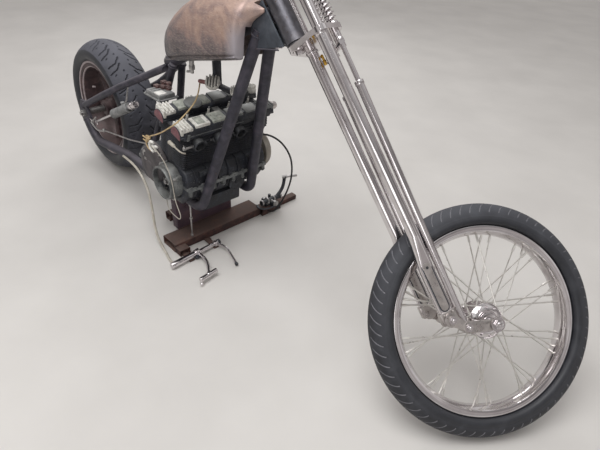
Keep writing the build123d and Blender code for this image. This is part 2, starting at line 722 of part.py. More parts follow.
with BuildPart() as handlebar:
    add(round_bar(fork_point(RISER_X, -100, bar_height), fork_point(RISER_X, 100, bar_height), BAR_TUBE_R))
    for sign in (1, -1):
        path = [(RISER_X, sign * 90, 0), (RISER_X, sign * 175, 0), (RISER_X + 10, sign * 245, 240),
                (RISER_X - 190, sign * 335, 262)]
        add(bent_bar([fork_point(x, y, bar_height + z) for x, y, z in path], [55, 75], BAR_TUBE_R))
pieces["handlebar"] = handlebar.part

with BuildPart() as grips:
    for sign in (1, -1):
        grip_in = fork_point(RISER_X - 80, sign * 285.5, bar_height + 249.9)
        grip_out = fork_point(RISER_X - 196, sign * 337.7, bar_height + 262.7)
        add(round_bar(grip_in, grip_out, 17))
pieces["grips"] = grips.part

# Front wheel: wire wheel with a slim tyre, hub with a brake flange on the right
front_centre = fork_point(axle_x, 0, axle_z)
front_section = wheel_section(front_centre, fork_left, fork_forward)
front_spin = Axis(front_centre, fork_left)
pieces["front_tyre"] = tyre(front_section, front_spin, FRONT_RIM_R, FRONT_RIM_W / 2 - 1, 306,
                            tread_r, 298, FRONT_TYRE_R)

half = FRONT_RIM_W / 2
with BuildPart() as front_rim:
    with BuildSketch(front_section):
        with BuildLine():
            Polyline((-half - 5, FRONT_RIM_R + 13), (-half, FRONT_RIM_R + 13), (-half, FRONT_RIM_R - 0.5),
                     (half, FRONT_RIM_R - 0.5), (half, FRONT_RIM_R + 13), (half + 5, FRONT_RIM_R + 13),
                     (half + 5, FRONT_RIM_R - 4), (14, FRONT_RIM_R - 14), (-14, FRONT_RIM_R - 14),
                     (-half - 5, FRONT_RIM_R - 4), close=True)
        make_face()
    revolve(axis=front_spin)
pieces["front_rim"] = front_rim.part

FLANGE_Y = 30.0
FLANGE_R = 52.0
hub_bore = FRONT_AXLE_R + 0.08
with BuildPart() as front_hub:
    with BuildSketch(front_section):
        with BuildLine():
            Polyline((-48, hub_bore), (-48, 38), (-42, 40), (-42, 30), (-FLANGE_Y - 6, 26),
                     (-FLANGE_Y - 6, FLANGE_R), (-FLANGE_Y, FLANGE_R), (-FLANGE_Y, 24), (FLANGE_Y, 24),
                     (FLANGE_Y, FLANGE_R),
                     (FLANGE_Y + 6, FLANGE_R), (FLANGE_Y + 6, 22), (48, 20), (48, hub_bore), close=True)
        make_face()
    revolve(axis=front_spin)
pieces["front_hub"] = front_hub.part

SPOKES_A_SIDE = 20
SPOKE_R = 1.8
with BuildPart() as front_spokes:
    for sign in (1, -1):
        for turn in range(SPOKES_A_SIDE):
            angle = radians(360 / SPOKES_A_SIDE * (turn + (0 if sign > 0 else 0.5)))
            out = fork_forward * cos(angle) + steer_axis * sin(angle)
            start = front_centre + out * (FLANGE_R - 5) + fork_left * (sign * (FLANGE_Y + 3))
            end = front_centre + out * (FRONT_RIM_R - 12) + fork_left * (sign * 6)
            add(round_bar(start, end, SPOKE_R))
pieces["front_spokes"] = front_spokes.part

os.makedirs("parts", exist_ok=True)
for name, part in pieces.items():
    part.label = name
    export_step(part, "parts/" + name + ".step")
print(len(pieces), "pieces; head height", round(head_z, 1), "tyre touch", round(touch_height, 1))
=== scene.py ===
# %% [markdown]
# # A long-fork chopper, half built, on its work stand
# The construction comes in as a fixed frame: real sizes, in metres, with X forward, Y to the
# rider's left and Z up. This lesson gives every piece its finish, and models again, in more
# detail, the pieces that carry the look: tyres, wheels, fork, engine, tank and stand.

# %% Load the frame
import bmesh
import bpy
import json
from math import asin, atan2, cos, hypot, pi, radians, sin, sqrt
from mathutils import Matrix, Vector
from mathutils.geometry import interpolate_bezier


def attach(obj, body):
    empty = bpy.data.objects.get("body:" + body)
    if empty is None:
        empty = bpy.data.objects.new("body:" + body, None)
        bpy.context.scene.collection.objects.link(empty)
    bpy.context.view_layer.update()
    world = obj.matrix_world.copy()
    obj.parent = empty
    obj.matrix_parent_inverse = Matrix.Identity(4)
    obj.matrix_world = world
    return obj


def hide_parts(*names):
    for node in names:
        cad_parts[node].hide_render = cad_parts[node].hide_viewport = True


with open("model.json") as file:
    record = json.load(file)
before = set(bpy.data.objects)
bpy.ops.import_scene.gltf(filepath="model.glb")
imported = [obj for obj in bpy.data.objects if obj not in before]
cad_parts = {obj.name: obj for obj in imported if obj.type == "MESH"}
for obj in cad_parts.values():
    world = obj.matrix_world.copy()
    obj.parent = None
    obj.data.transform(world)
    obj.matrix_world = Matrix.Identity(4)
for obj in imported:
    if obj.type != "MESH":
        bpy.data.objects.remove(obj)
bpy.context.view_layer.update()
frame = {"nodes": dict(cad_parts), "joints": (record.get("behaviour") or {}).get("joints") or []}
print("frame", len(frame["nodes"]), "nodes")

# %% [markdown]
# ## Where things are
# The fork is turned to the left and the front wheel leans with it. The joints say exactly
# how: their axes and centres give every local frame that the pieces below are built in.
# A local frame has x ahead, y left and z up for its own part of the bike. Pieces are drawn in
# millimetres in such a frame and turned to metres when they are finished.

# %% Local frames
MM = 0.001
joints = {joint["name"]: joint for joint in frame["joints"]}


def local_frame(origin, ahead, left, up):
    """A matrix whose columns are ahead, left and up, placed at origin."""
    turn = Matrix((ahead, left, up)).transposed().to_4x4()
    return Matrix.Translation(origin) @ turn


steer_axis = Vector(joints["steering"]["axis"]).normalized()
head_base = Vector(joints["steering"]["pos_m"])
fork_left = Vector(joints["front_wheel_spin"]["axis"]).normalized()
fork_ahead = fork_left.cross(steer_axis).normalized()
front_axle = Vector(joints["front_wheel_spin"]["pos_m"])
rear_axle = Vector(joints["rear_wheel_spin"]["pos_m"])

UP = Vector((0, 0, 1))
HERE = Matrix.Identity(4)
FORK = local_frame(head_base, fork_ahead, fork_left, steer_axis)
FRONT_WHEEL = local_frame(front_axle, fork_ahead, fork_left, steer_axis)
REAR_WHEEL = Matrix.Translation(rear_axle)
CRANK = Vector((0.177, 0, 0.353))
ENGINE = Matrix.Translation(CRANK)
LEAN = radians(15)
CYLINDERS = ENGINE @ Matrix.Translation((-0.028, 0, 0)) @ Matrix.Rotation(LEAN, 4, "Y")
# Stands what is drawn along Y upright, so that plates lie flat and turned bodies look up
LEVEL = Matrix.Rotation(pi / 2, 4, "X")

# %% [markdown]
# ## Camera
# The photograph is taken standing at the bike's front right and looking down at it. Heading,
# downward tilt and roll give the camera's axes; the focal length is in pixels of a frame that
# is 600 pixels wide, so it becomes millimetres on a 36 mm sensor.

# %% Camera
CAMERA_AT = Vector((1.704, -1.0059, 1.3359))
CAMERA_HEADING = radians(135.03)
CAMERA_TILT = radians(35.04)
CAMERA_ROLL = radians(3.58)
FOCAL_PIXELS = 495.0
PHOTO_WIDTH = 600
SENSOR = 36.0

look = Vector((cos(CAMERA_TILT) * cos(CAMERA_HEADING), cos(CAMERA_TILT) * sin(CAMERA_HEADING),
               -sin(CAMERA_TILT)))
level_right = look.cross(UP).normalized()
level_up = level_right.cross(look)
camera_right = cos(CAMERA_ROLL) * level_right + sin(CAMERA_ROLL) * level_up
camera_up = cos(CAMERA_ROLL) * level_up - sin(CAMERA_ROLL) * level_right

camera_data = bpy.data.cameras.new("photo_camera")
camera_data.sensor_width = SENSOR
camera_data.lens = FOCAL_PIXELS * SENSOR / PHOTO_WIDTH
camera_data.clip_end = 60
camera = bpy.data.objects.new("photo_camera", camera_data)
camera.matrix_world = local_frame(CAMERA_AT, camera_right, camera_up, -look)
bpy.context.scene.collection.objects.link(camera)
bpy.context.scene.camera = camera
print("lens", round(camera_data.lens, 2), "mm")

# %% [markdown]
# ## Colours and nodes
# Colours are written as the eye sees them, as sRGB hex, and turned to the linear values that
# the renderer works with. One helper adds a node with its settings and links, and per_mm
# turns the real size of a mark in millimetres into the scale of a pattern.

# %% Colour and node helpers
# The sockets of a colour Mix node: how much of the second colour, the two colours, the result
SHARE, FIRST, SECOND, MIXED = 0, 6, 7, 2


def linear(code):
    """A linear RGBA colour from an sRGB hex code."""
    parts = [int(code[i:i + 2], 16) / 255 for i in (0, 2, 4)]
    return tuple(p / 12.92 if p <= 0.04045 else ((p + 0.055) / 1.055) ** 2.4 for p in parts) + (1.0,)


def per_mm(size):
    """The scale of a pattern whose marks are size millimetres wide."""
    return 1 / (size * MM)


def feed(tree, node, inputs):
    """Fills or links a node's inputs; a node given as the value stands for its first output."""
    for name, value in inputs.items():
        if isinstance(value, bpy.types.Node):
            value = value.outputs[0]
        if isinstance(value, bpy.types.NodeSocket):
            tree.links.new(value, node.inputs[name])
        else:
            node.inputs[name].default_value = value


def add_node(tree, kind, inputs=None, stops=(), **settings):
    """Adds a node, sets its properties, feeds its inputs and, on a ramp, sets its stops."""
    node = tree.nodes.new("ShaderNode" + kind)
    for name, value in settings.items():
        setattr(node, name, value)
    for i, (place, code) in enumerate(stops):
        element = node.color_ramp.elements[i] if i < 2 else node.color_ramp.elements.new(place)
        element.position = place
        element.color = linear(code)
    feed(tree, node, inputs or {})
    return node


def blank_material(name, metallic, roughness):
    """A new material: its tree, its shader and the piece's own coordinates."""
    material = bpy.data.materials.new(name)
    material.use_nodes = True
    tree = material.node_tree
    shader = tree.nodes["Principled BSDF"]
    feed(tree, shader, {"Metallic": metallic, "Roughness": roughness})
    place = add_node(tree, "TexCoord").outputs["Object"]
    return material, tree, shader, place


def cast_look(name, metallic, rough_range, tones, patch_mm, grain_mm, bump_mm, dust=None, spots=None):
    """A weathered surface: broad patches of tone, fine grain in the bump, dust and spots.

    tones are ramp stops over the patches, dust is (hex, amount) on upward faces, and spots are
    (hex, size in mm, share) of small marks."""
    material, tree, shader, place = blank_material(name, metallic, sum(rough_range) / 2)
    patches = add_node(tree, "TexNoise", {"Vector": place, "Scale": per_mm(patch_mm), "Detail": 6.0,
                                          "Roughness": 0.62, "Distortion": 0.4})
    colour = add_node(tree, "ValToRGB", {"Fac": patches}, stops=tones)
    if spots:
        code, size, share = spots
        marks = add_node(tree, "TexNoise", {"Vector": place, "Scale": per_mm(size), "Detail": 3.0})
        edge = add_node(tree, "MapRange", {"Value": marks, "From Min": 0.62 - share,
                                           "From Max": 0.70 - share, "To Max": 0.85})
        colour = add_node(tree, "Mix", {SHARE: edge, FIRST: colour, SECOND: linear(code)},
                          data_type="RGBA").outputs[MIXED]
    if dust:
        code, amount = dust
        facing = add_node(tree, "NewGeometry")
        upward = add_node(tree, "SeparateXYZ", {"Vector": facing.outputs["Normal"]})
        settled = add_node(tree, "MapRange", {"Value": upward.outputs["Z"], "From Min": 0.25,
                                              "From Max": 0.95, "To Max": amount})
        colour = add_node(tree, "Mix", {SHARE: settled, FIRST: colour, SECOND: linear(code)},
                          data_type="RGBA").outputs[MIXED]
    rough = add_node(tree, "MapRange", {"Value": patches, "From Min": 0.3, "From Max": 0.7,
                                        "To Min": rough_range[0], "To Max": rough_range[1]})
    grain = add_node(tree, "TexNoise", {"Vector": place, "Scale": per_mm(grain_mm), "Detail": 4.0})
    bump = add_node(tree, "Bump", {"Height": grain, "Distance": bump_mm * MM, "Strength": 1.0})
    feed(tree, shader, {"Base Color": colour, "Roughness": rough, "Normal": bump})
    return material


# %% [markdown]
# ## Finishes
# Nothing on this bike is freshly painted. Frame tubes are bare steel gone dark, with brown
# rust and pale dust on top; the engine is old black paint over cast alloy; the cam covers'
# caps have a white oxide crust. Each of these is patches of a few tones, a fine grain, and
# dust on what faces up, so one helper serves them with the real sizes of their marks. Chrome,
# tyre rubber and the tank differ in kind and have sections of their own.

# %% Steel, paint and cast alloy
# Mild steel tube, as drawn and then left bare: near black scale, brown where it has rusted
frame_steel = cast_look("weathered_frame_steel", 0.30, (0.42, 0.66),
                        ((0.28, "25262c"), (0.48, "393842"), (0.64, "4d4a54"), (0.80, "635a5b")),
                        45, 1.6, 0.22, dust=("8f8a90", 0.45), spots=("64483c", 9, -0.06))
# Hot rolled plate of the neck: a thin blue-grey mill scale, lighter than the tubes
scaled_plate = cast_look("mill_scale_plate", 0.35, (0.4, 0.62),
                         ((0.28, "3a3f47"), (0.50, "4e545d"), (0.74, "676c74")), 50, 1.2, 0.12,
                         dust=("858a90", 0.35), spots=("5d4a42", 7, -0.06))
# Rusty box section: an even brown crust with paler rubbed tops
rusty_steel = cast_look("rusty_box_steel", 0.08, (0.72, 0.92),
                        ((0.28, "2c2020"), (0.45, "402c2a"), (0.58, "563b36"), (0.75, "775446")),
                        38, 1.8, 0.45, dust=("7c6b63", 0.5), spots=("2d1d1a", 6, 0.03))
# Dark maroon paint on the riser, chipped to rust
maroon_paint = cast_look("old_maroon_paint", 0.05, (0.55, 0.8),
                         ((0.28, "372b34"), (0.50, "493842"), (0.68, "59454a"), (0.80, "74564b")),
                         50, 1.6, 0.3, dust=("6d5d58", 0.4), spots=("5f3f33", 8, 0.0))
# Ground and machined steel, dull grey with fine marks
raw_steel = cast_look("ground_raw_steel", 0.85, (0.30, 0.48),
                      ((0.30, "56555a"), (0.55, "6b6a70"), (0.75, "807e83")), 30, 0.8, 0.06,
                      spots=("5a4a40", 7, -0.02))
# Old engine paint over sand-cast alloy: blue-black, oily and dusty
engine_paint = cast_look("old_black_engine_paint", 0.15, (0.38, 0.62),
                         ((0.30, "15161b"), (0.52, "22242b"), (0.68, "343842"), (0.80, "555a62")),
                         34, 1.4, 0.22, dust=("6a6c70", 0.38), spots=("7b7d80", 5, -0.03))
# Bare die-cast alloy, dull and stained
cast_alloy = cast_look("dull_cast_alloy", 0.55, (0.42, 0.62),
                       ((0.30, "4d5052"), (0.52, "6c6f70"), (0.72, "8d8f8d")), 28, 1.2, 0.14,
                       dust=("a9a8a3", 0.35), spots=("37383b", 8, 0.0))
# The same alloy under a chalky white oxide crust
oxide_crust = cast_look("white_corroded_alloy", 0.05, (0.70, 0.90),
                        ((0.26, "8e8b85"), (0.42, "c9c7c0"), (0.60, "e4e2dc"), (0.80, "f2f0ea")),
                        16, 1.2, 0.45, spots=("77716a", 4, -0.02))
# A paler and duller die casting
pale_cast_alloy = cast_look("pale_dull_casting", 0.35, (0.48, 0.66),
                            ((0.30, "6d6e6e"), (0.52, "898a8a"), (0.74, "a2a2a2")), 30, 1.2, 0.12,
                            dust=("b7b6b5", 0.35), spots=("4b4d4b", 7, 0.0))
# Cast alloy under a coat of workshop dust, so that the dome looks tan more than silver
dusty_alloy = cast_look("dusty_cast_alloy", 0.2, (0.55, 0.72),
                        ((0.30, "7a756d"), (0.52, "989289"), (0.74, "b1aba1")), 36, 1.2, 0.1,
                        dust=("b5aea4", 0.5), spots=("5a5550", 8, -0.02))
# Black engine paint that the same dust has turned to a mid grey
dusty_cover_paint = cast_look("dusty_engine_paint", 0.1, (0.5, 0.7),
                              ((0.28, "393739"), (0.50, "4d494b"), (0.72, "625d5e")), 40, 1.2, 0.12,
                              dust=("7d7675", 0.6), spots=("8f6a4c", 7, -0.12))
# Alloy that damp has blotched, between bare and white
stained_alloy = cast_look("damp_stained_alloy", 0.05, (0.66, 0.85),
                          ((0.30, "7d8079"), (0.50, "a3a69d"), (0.68, "c0c0b7"), (0.82, "d8d6cf")), 22, 1.3,
                          0.3, spots=("55564f", 6, 0.0))
# Reddish oil seal rubber at the ends of the cam boxes
red_plug = cast_look("reddish_seal_rubber", 0.0, (0.5, 0.7),
                     ((0.30, "4f3338"), (0.55, "7d5258"), (0.75, "9a6d70")), 14, 1.0, 0.1)
# Stainless wire, drawn and bright
spoke_wire = cast_look("stainless_spoke_wire", 0.75, (0.26, 0.36),
                       ((0.30, "cdcac5"), (0.55, "dedbd6"), (0.75, "ece9e4")), 20, 0.6, 0.03)
# Zinc plated hardware gone dull
zinc = cast_look("dull_zinc_plate", 0.90, (0.26, 0.42),
                 ((0.30, "8d8c8b"), (0.55, "a9a7a6"), (0.75, "c2c0be")), 14, 0.7, 0.04,
                 spots=("7a6a58", 4, -0.03))
# Cast alloy under oil and soot, low on the engine's front
grimy_alloy = cast_look("sooty_cast_alloy", 0.35, (0.45, 0.66),
                        ((0.30, "1f2023"), (0.52, "33353a"), (0.74, "565a60")), 22, 1.1, 0.14,
                        dust=("7a7a78", 0.3))
# Glazed ceramic, clean and bright
white_ceramic = cast_look("glazed_white_ceramic", 0.0, (0.2, 0.34), ((0.30, "cfccc4"), (0.70, "e6e3dc")),
                          12, 0.6, 0.02)
# The wheel's machined lips, where the paint has worn through
worn_lip = cast_look("worn_wheel_lip", 0.3, (0.38, 0.55),
                     ((0.30, "8d8184"), (0.55, "b3a7a8"), (0.75, "cfc6c5")), 30, 1.0, 0.06)
# Chain and sprocket steel, dark with old grease
oily_steel = cast_look("greasy_chain_steel", 0.7, (0.36, 0.55),
                       ((0.30, "2c2826"), (0.52, "4a4541"), (0.74, "6d6862")), 16, 0.9, 0.08,
                       dust=("7c746c", 0.35))
# Painted cast wheel, grey brown with brake dust
wheel_paint = cast_look("dusty_cast_wheel", 0.35, (0.40, 0.60),
                        ((0.30, "2e2427"), (0.52, "4a3a3c"), (0.74, "6b5654")), 40, 1.3, 0.15,
                        dust=("8f7f7c", 0.40))
# Moulded rubber and plastic
black_rubber = cast_look("black_moulded_rubber", 0.0, (0.55, 0.75),
                         ((0.30, "17171a"), (0.70, "26262a")), 22, 0.9, 0.12)
hose_plastic = cast_look("dusty_pale_hose", 0.0, (0.42, 0.6),
                         ((0.30, "a39c90"), (0.55, "bdb7ab"), (0.75, "d2cdc2")), 30, 1.0, 0.08)
wire_plastic = cast_look("aged_beige_wire", 0.0, (0.45, 0.6),
                         ((0.30, "9c8562"), (0.55, "bfa67c"), (0.75, "d3be98")), 18, 0.8, 0.05)
blank_label = cast_look("blank_white_plate", 0.0, (0.45, 0.6),
                        ((0.30, "dedcd6"), (0.70, "eeece7")), 20, 0.8, 0.03)
brown_plastic = cast_look("brown_connector", 0.0, (0.45, 0.62),
                          ((0.30, "3c2828"), (0.55, "5a403f"), (0.75, "876560")), 12, 0.8, 0.05,
                          dust=("8a7c78", 0.4))
faded_pink_sleeve = cast_look("faded_pink_sleeve", 0.0, (0.5, 0.66),
                              ((0.30, "7b4f50"), (0.55, "9c6a68"), (0.75, "b58a86")), 14, 0.8, 0.05)
# Turned brass, a small fitting on the fork
brass = cast_look("turned_brass", 1.0, (0.22, 0.38), ((0.30, "b08a3c"), (0.55, "c9a04a"), (0.75, "d9b661")),
                  8, 0.7, 0.03)
print("cast and painted finishes", len(bpy.data.materials))

# %% [markdown]
# ## Chrome
# Show chrome on the fork, rims and bars: a bright metal whose look is all in what it mirrors.
# A perfect mirror looks like glass, so the roughness wanders a little where it has been wiped
# and handled, and a very low bump keeps long tubes from being ruler straight.

# %% Chrome
chrome, tree, shader, place = blank_material("show_chrome", 1.0, 0.1)
haze = add_node(tree, "TexNoise", {"Vector": place, "Scale": per_mm(60), "Detail": 5.0})
wiped = add_node(tree, "MapRange", {"Value": haze, "From Min": 0.35, "From Max": 0.75,
                                    "To Min": 0.05, "To Max": 0.22})
tint = add_node(tree, "ValToRGB", {"Fac": haze},
                stops=((0.35, "dedadb"), (0.6, "d0cbcc"), (0.8, "b0a9a9")))
ripple = add_node(tree, "TexNoise", {"Vector": place, "Scale": per_mm(25), "Detail": 1.0})
wave = add_node(tree, "Bump", {"Height": ripple, "Distance": 0.25 * MM, "Strength": 0.6})
feed(tree, shader, {"Roughness": wiped, "Base Color": tint, "Normal": wave})

# %% Satin alloy
# Cast and polished fork parts: bright but soft, with fine scratches and a little dirt
satin_alloy = cast_look("satin_polished_alloy", 0.9, (0.22, 0.38),
                        ((0.30, "a39d9b"), (0.52, "bdb7b4"), (0.74, "d2ccc8")), 30, 0.8, 0.05,
                        spots=("6f6866", 5, -0.02))

# %% [markdown]
# ## Tyre rubber
# Vulcanised rubber: the wall is smooth, nearly black with a cold sheen; the tread is scrubbed
# grey and matt with dust, and grit has packed the narrow sipes a paler grey. The dust is a
# broad noise; the moulding grain is finer than a millimetre and only dulls the surface.

# %% Tyre rubber
wall_rubber = cast_look("tyre_wall_rubber", 0.0, (0.40, 0.58),
                        ((0.28, "1d1f24"), (0.50, "292b31"), (0.74, "3b3d42")), 60, 1.0, 0.10,
                        dust=("4a4b4f", 0.30))
tread_rubber = cast_look("dusty_tread_rubber", 0.0, (0.62, 0.85),
                         ((0.30, "2f3036"), (0.52, "404149"), (0.76, "5d5d65")), 70, 1.3, 0.22,
                         dust=("70717a", 0.5))
front_tread_rubber = cast_look("worn_front_tread_rubber", 0.0, (0.58, 0.8),
                               ((0.30, "202126"), (0.52, "2e2f34"), (0.76, "44464b")), 60, 1.2, 0.16,
                               dust=("606269", 0.35))
packed_grit = cast_look("grit_packed_rubber", 0.0, (0.75, 0.92),
                        ((0.30, "5c5c61"), (0.52, "737378"), (0.76, "8c8c92")), 12, 1.2, 0.2)
# Painted shade in the rear tyre's pressed grooves: their faces are coloured near black
groove_rubber = cast_look("shaded_groove_rubber", 0.0, (0.70, 0.88),
                          ((0.30, "141518"), (0.70, "25262a")), 30, 1.2, 0.1)

# %% [markdown]
# ## Tank metal
# The tank has been stripped to bare steel and left. Its upper half has a warm tan bloom of
# rust, the lower half is grey, and the front panels are pale, partly rubbed bare and partly a
# painted highlight. A height gradient in metres mixes the two, broken up by noise; fine
# scratches run along the tank, and rust specks sit on top.

# %% Tank metal
TANK_LOW = 0.80
TANK_BLOOM = 0.93
tank_metal, tree, shader, place = blank_material("stripped_tank_steel", 0.55, 0.4)
spread = add_node(tree, "TexNoise", {"Vector": place, "Scale": per_mm(85), "Detail": 9.0, "Roughness": 0.68,
                                     "Distortion": 0.7})
parts = add_node(tree, "SeparateXYZ", {"Vector": place})
height = add_node(tree, "MapRange", {"Value": parts.outputs["Z"], "From Min": TANK_LOW,
                                     "From Max": TANK_BLOOM, "To Min": -0.32, "To Max": 0.16})
bloom = add_node(tree, "Math", {0: spread, 1: height}, operation="ADD")
patina = add_node(tree, "ValToRGB", {"Fac": bloom},
                  stops=((0.26, "4d484c"), (0.40, "6c6466"), (0.50, "887a7a"), (0.60, "a58d86"),
                         (0.74, "bea294"), (0.86, "cbb2a4")))
brushed = add_node(tree, "Mapping", {"Vector": place, "Scale": (0.12, 1.0, 1.0)})
scratch = add_node(tree, "TexNoise", {"Vector": brushed, "Scale": per_mm(2.2), "Detail": 6.0})
rubbed = add_node(tree, "MapRange", {"Value": scratch, "From Min": 0.5, "From Max": 0.75,
                                     "To Max": 0.45})
patina = add_node(tree, "Mix", {SHARE: rubbed, FIRST: patina, SECOND: linear("d4c3b4")},
                  data_type="RGBA").outputs[MIXED]
specks = add_node(tree, "TexNoise", {"Vector": place, "Scale": per_mm(11), "Detail": 6.0, "Roughness": 0.7})
rusted = add_node(tree, "MapRange", {"Value": specks, "From Min": 0.60, "From Max": 0.70,
                                     "To Max": 0.7})
patina = add_node(tree, "Mix", {SHARE: rusted, FIRST: patina, SECOND: linear("6f4c39")},
                  data_type="RGBA").outputs[MIXED]
# Painted highlight with rubbed metal: the front panels are mixed towards a pale grey, less so on top of the
# nose
front_wear_and_highlight = add_node(tree, "MapRange", {"Value": parts.outputs["X"], "From Min": 0.425, "From Max": 0.465,
                                   "To Max": 0.85})
below_nose = add_node(tree, "MapRange", {"Value": parts.outputs["Z"], "From Min": 0.935, "From Max": 0.985,
                                         "To Min": 1.0, "To Max": 0.12})
front_wear_and_highlight = add_node(tree, "Math", {0: front_wear_and_highlight, 1: below_nose}, operation="MULTIPLY")
patina = add_node(tree, "Mix", {SHARE: front_wear_and_highlight, FIRST: patina, SECOND: linear("b6b2ba")},
                  data_type="RGBA").outputs[MIXED]
sheen = add_node(tree, "MapRange", {"Value": bloom, "From Min": 0.35, "From Max": 0.7,
                                    "To Min": 0.30, "To Max": 0.52})
dents = add_node(tree, "Bump", {"Height": spread, "Distance": 1.2 * MM, "Strength": 0.5})
scored = add_node(tree, "Bump", {"Height": scratch, "Distance": 0.08 * MM, "Strength": 0.8,
                                 "Normal": dents})
feed(tree, shader, {"Base Color": patina, "Roughness": sheen, "Normal": scored})

# %% [markdown]
# ## Floor and light
# A pale floor and soft studio light at a plain level. The world is pale at the horizon, where
# it meets the floor, darker above it and bright overhead: that gives the chrome something to
# mirror, and its average lights the bike evenly. Seen directly, behind the floor, it is one
# plain pale tone. A large soft lamp overhead and one behind give the shadows a side.
# A smaller one square to the fork is there for its mirror image, a white streak on each tube.

# %% Floor and light
FLOOR_HALF = 30
WORLD_LEVEL = 0.85
bpy.context.scene.view_settings.view_transform = "Standard"
floor_paint, tree, shader, place = blank_material("pale_studio_floor", 0.0, 0.75)
mottle = add_node(tree, "TexNoise", {"Vector": place, "Scale": per_mm(400), "Detail": 4.0})
pale = add_node(tree, "ValToRGB", {"Fac": mottle}, stops=((0.3, "cfccc8"), (0.7, "d8d5d1")))
feed(tree, shader, {"Base Color": pale})
bm = bmesh.new()
bmesh.ops.create_grid(bm, x_segments=1, y_segments=1, size=FLOOR_HALF)
floor_mesh = bpy.data.meshes.new("floor")
bm.to_mesh(floor_mesh)
bm.free()
floor_mesh.materials.append(floor_paint)
floor = bpy.data.objects.new("floor", floor_mesh)
bpy.context.scene.collection.objects.link(floor)

world = bpy.data.worlds.new("studio")
world.use_nodes = True
tree = world.node_tree
sky = add_node(tree, "TexCoord").outputs["Generated"]
rise = add_node(tree, "SeparateXYZ", {"Vector": sky}).outputs["Z"]
bands = add_node(tree, "ValToRGB", {"Fac": rise},
                 stops=((0.0, "d9d6d3"), (0.07, "c4c0bd"), (0.17, "8f8b8a"), (0.24, "3d3a3b"),
                        (0.31, "a29c9b"), (0.46, "c9c3c1"), (0.58, "6b6766"), (0.72, "e8e6e6"),
                        (0.86, "fafafa")))
room = add_node(tree, "TexNoise", {"Vector": sky, "Scale": 2.2, "Detail": 2.0, "Distortion": 0.6})
shapes = add_node(tree, "ValToRGB", {"Fac": room},
                  stops=((0.36, "343233"), (0.46, "a8a2a1"), (0.55, "dedad8"), (0.66, "ffffff")))
reflected = add_node(tree, "Mix", {SHARE: 0.55, FIRST: bands, SECOND: shapes},
                     data_type="RGBA").outputs[MIXED]
on_camera = add_node(tree, "LightPath").outputs["Is Camera Ray"]
backdrop = add_node(tree, "Mix", {SHARE: on_camera, FIRST: reflected, SECOND: linear("dedbd8")},
                    data_type="RGBA").outputs[MIXED]
feed(tree, tree.nodes["Background"], {"Color": backdrop, "Strength": WORLD_LEVEL})
bpy.context.scene.world = world


def soft_lamp(name, at, aim, size, power):
    """A square area lamp that looks at a point."""
    lamp = bpy.data.lights.new(name, "AREA")
    lamp.energy = power
    lamp.size = size
    holder = bpy.data.objects.new(name, lamp)
    holder.location = at
    holder.rotation_euler = (Vector(aim) - Vector(at)).to_track_quat("-Z", "Y").to_euler()
    holder.visible_camera = False
    bpy.context.scene.collection.objects.link(holder)


soft_lamp("ceiling_panel", (0.6, -0.9, 3.6), (0.3, 0, 0.3), 2.2, 72)
soft_lamp("rear_panel", (-2.4, 2.2, 2.6), (0, 0, 0.4), 1.6, 30)
soft_lamp("near_panel", (2.2, -2.1, 1.55), (1.04, 0, 0.64), 1.1, 7)

# %% [markdown]
# ## Tools for making pieces
# A handful of shapes makes most of a motorcycle: round bars, boxes, turned bodies and flat
# plates. Each helper adds one such shape to a bmesh with Blender's own operators. A last
# helper turns the bmesh into a finished piece: metres, outward faces, smooth shading except at
# sharp edges, material and body, and it hides the construction nodes that it stands for.

# %% Shapes


def soften(bm, edges, size, segments=2):
    """Rounds edges."""
    bmesh.ops.bevel(bm, geom=list(edges), offset=size, affect="EDGES", segments=segments, profile=0.5,
                    material=-1)


def edges_at(verts):
    """The edges that meet at some vertices, each once and in the same order every time."""
    return list(dict.fromkeys(e for v in verts for e in v.link_edges))


def along(start, end):
    """A matrix at the middle of start and end whose Z runs from one to the other."""
    start, end = Vector(start), Vector(end)
    turn = (end - start).to_track_quat("Z", "Y").to_matrix().to_4x4()
    return Matrix.Translation((start + end) / 2) @ turn, (end - start).length


def looking(at, way):
    """A matrix at a point whose Y runs along way."""
    return Matrix.Translation(at) @ Vector(way).to_track_quat("Y", "Z").to_matrix().to_4x4()


def rod(bm, start, end, radius, end_radius=None, sides=24, edge=0.0):
    """A round bar, or a cone where end_radius is given, with its rims rounded by edge."""
    place, length = along(start, end)
    far = radius if end_radius is None else end_radius
    made = bmesh.ops.create_cone(bm, cap_ends=True, segments=sides, radius1=radius, radius2=far,
                                 depth=length, matrix=place)
    if edge:
        rims = [e for e in edges_at(made["verts"]) if any(len(f.verts) == sides for f in e.link_faces)]
        soften(bm, rims, edge)


def box(bm, low, high, edge=0.0, place=HERE):
    """A block between two corners with rounded edges."""
    low, high = Vector(low), Vector(high)
    sized = place @ Matrix.LocRotScale((low + high) / 2, None, high - low)
    made = bmesh.ops.create_cube(bm, size=1, matrix=sized)
    if edge:
        soften(bm, edges_at(made["verts"]), edge)


def turned(bm, profile, place=HERE, steps=96):
    """A turned body: the closed profile's points are (across, out), across along the Y axis."""
    line = [bm.verts.new(place @ Vector((0, across, out))) for across, out in profile]
    edges = [bm.edges.new(pair) for pair in zip(line, line[1:] + line[:1])]
    bmesh.ops.spin(bm, geom=line + edges, cent=place.translation, axis=place.to_3x3() @ Vector((0, 1, 0)),
                   angle=2 * pi, steps=steps, use_merge=True)


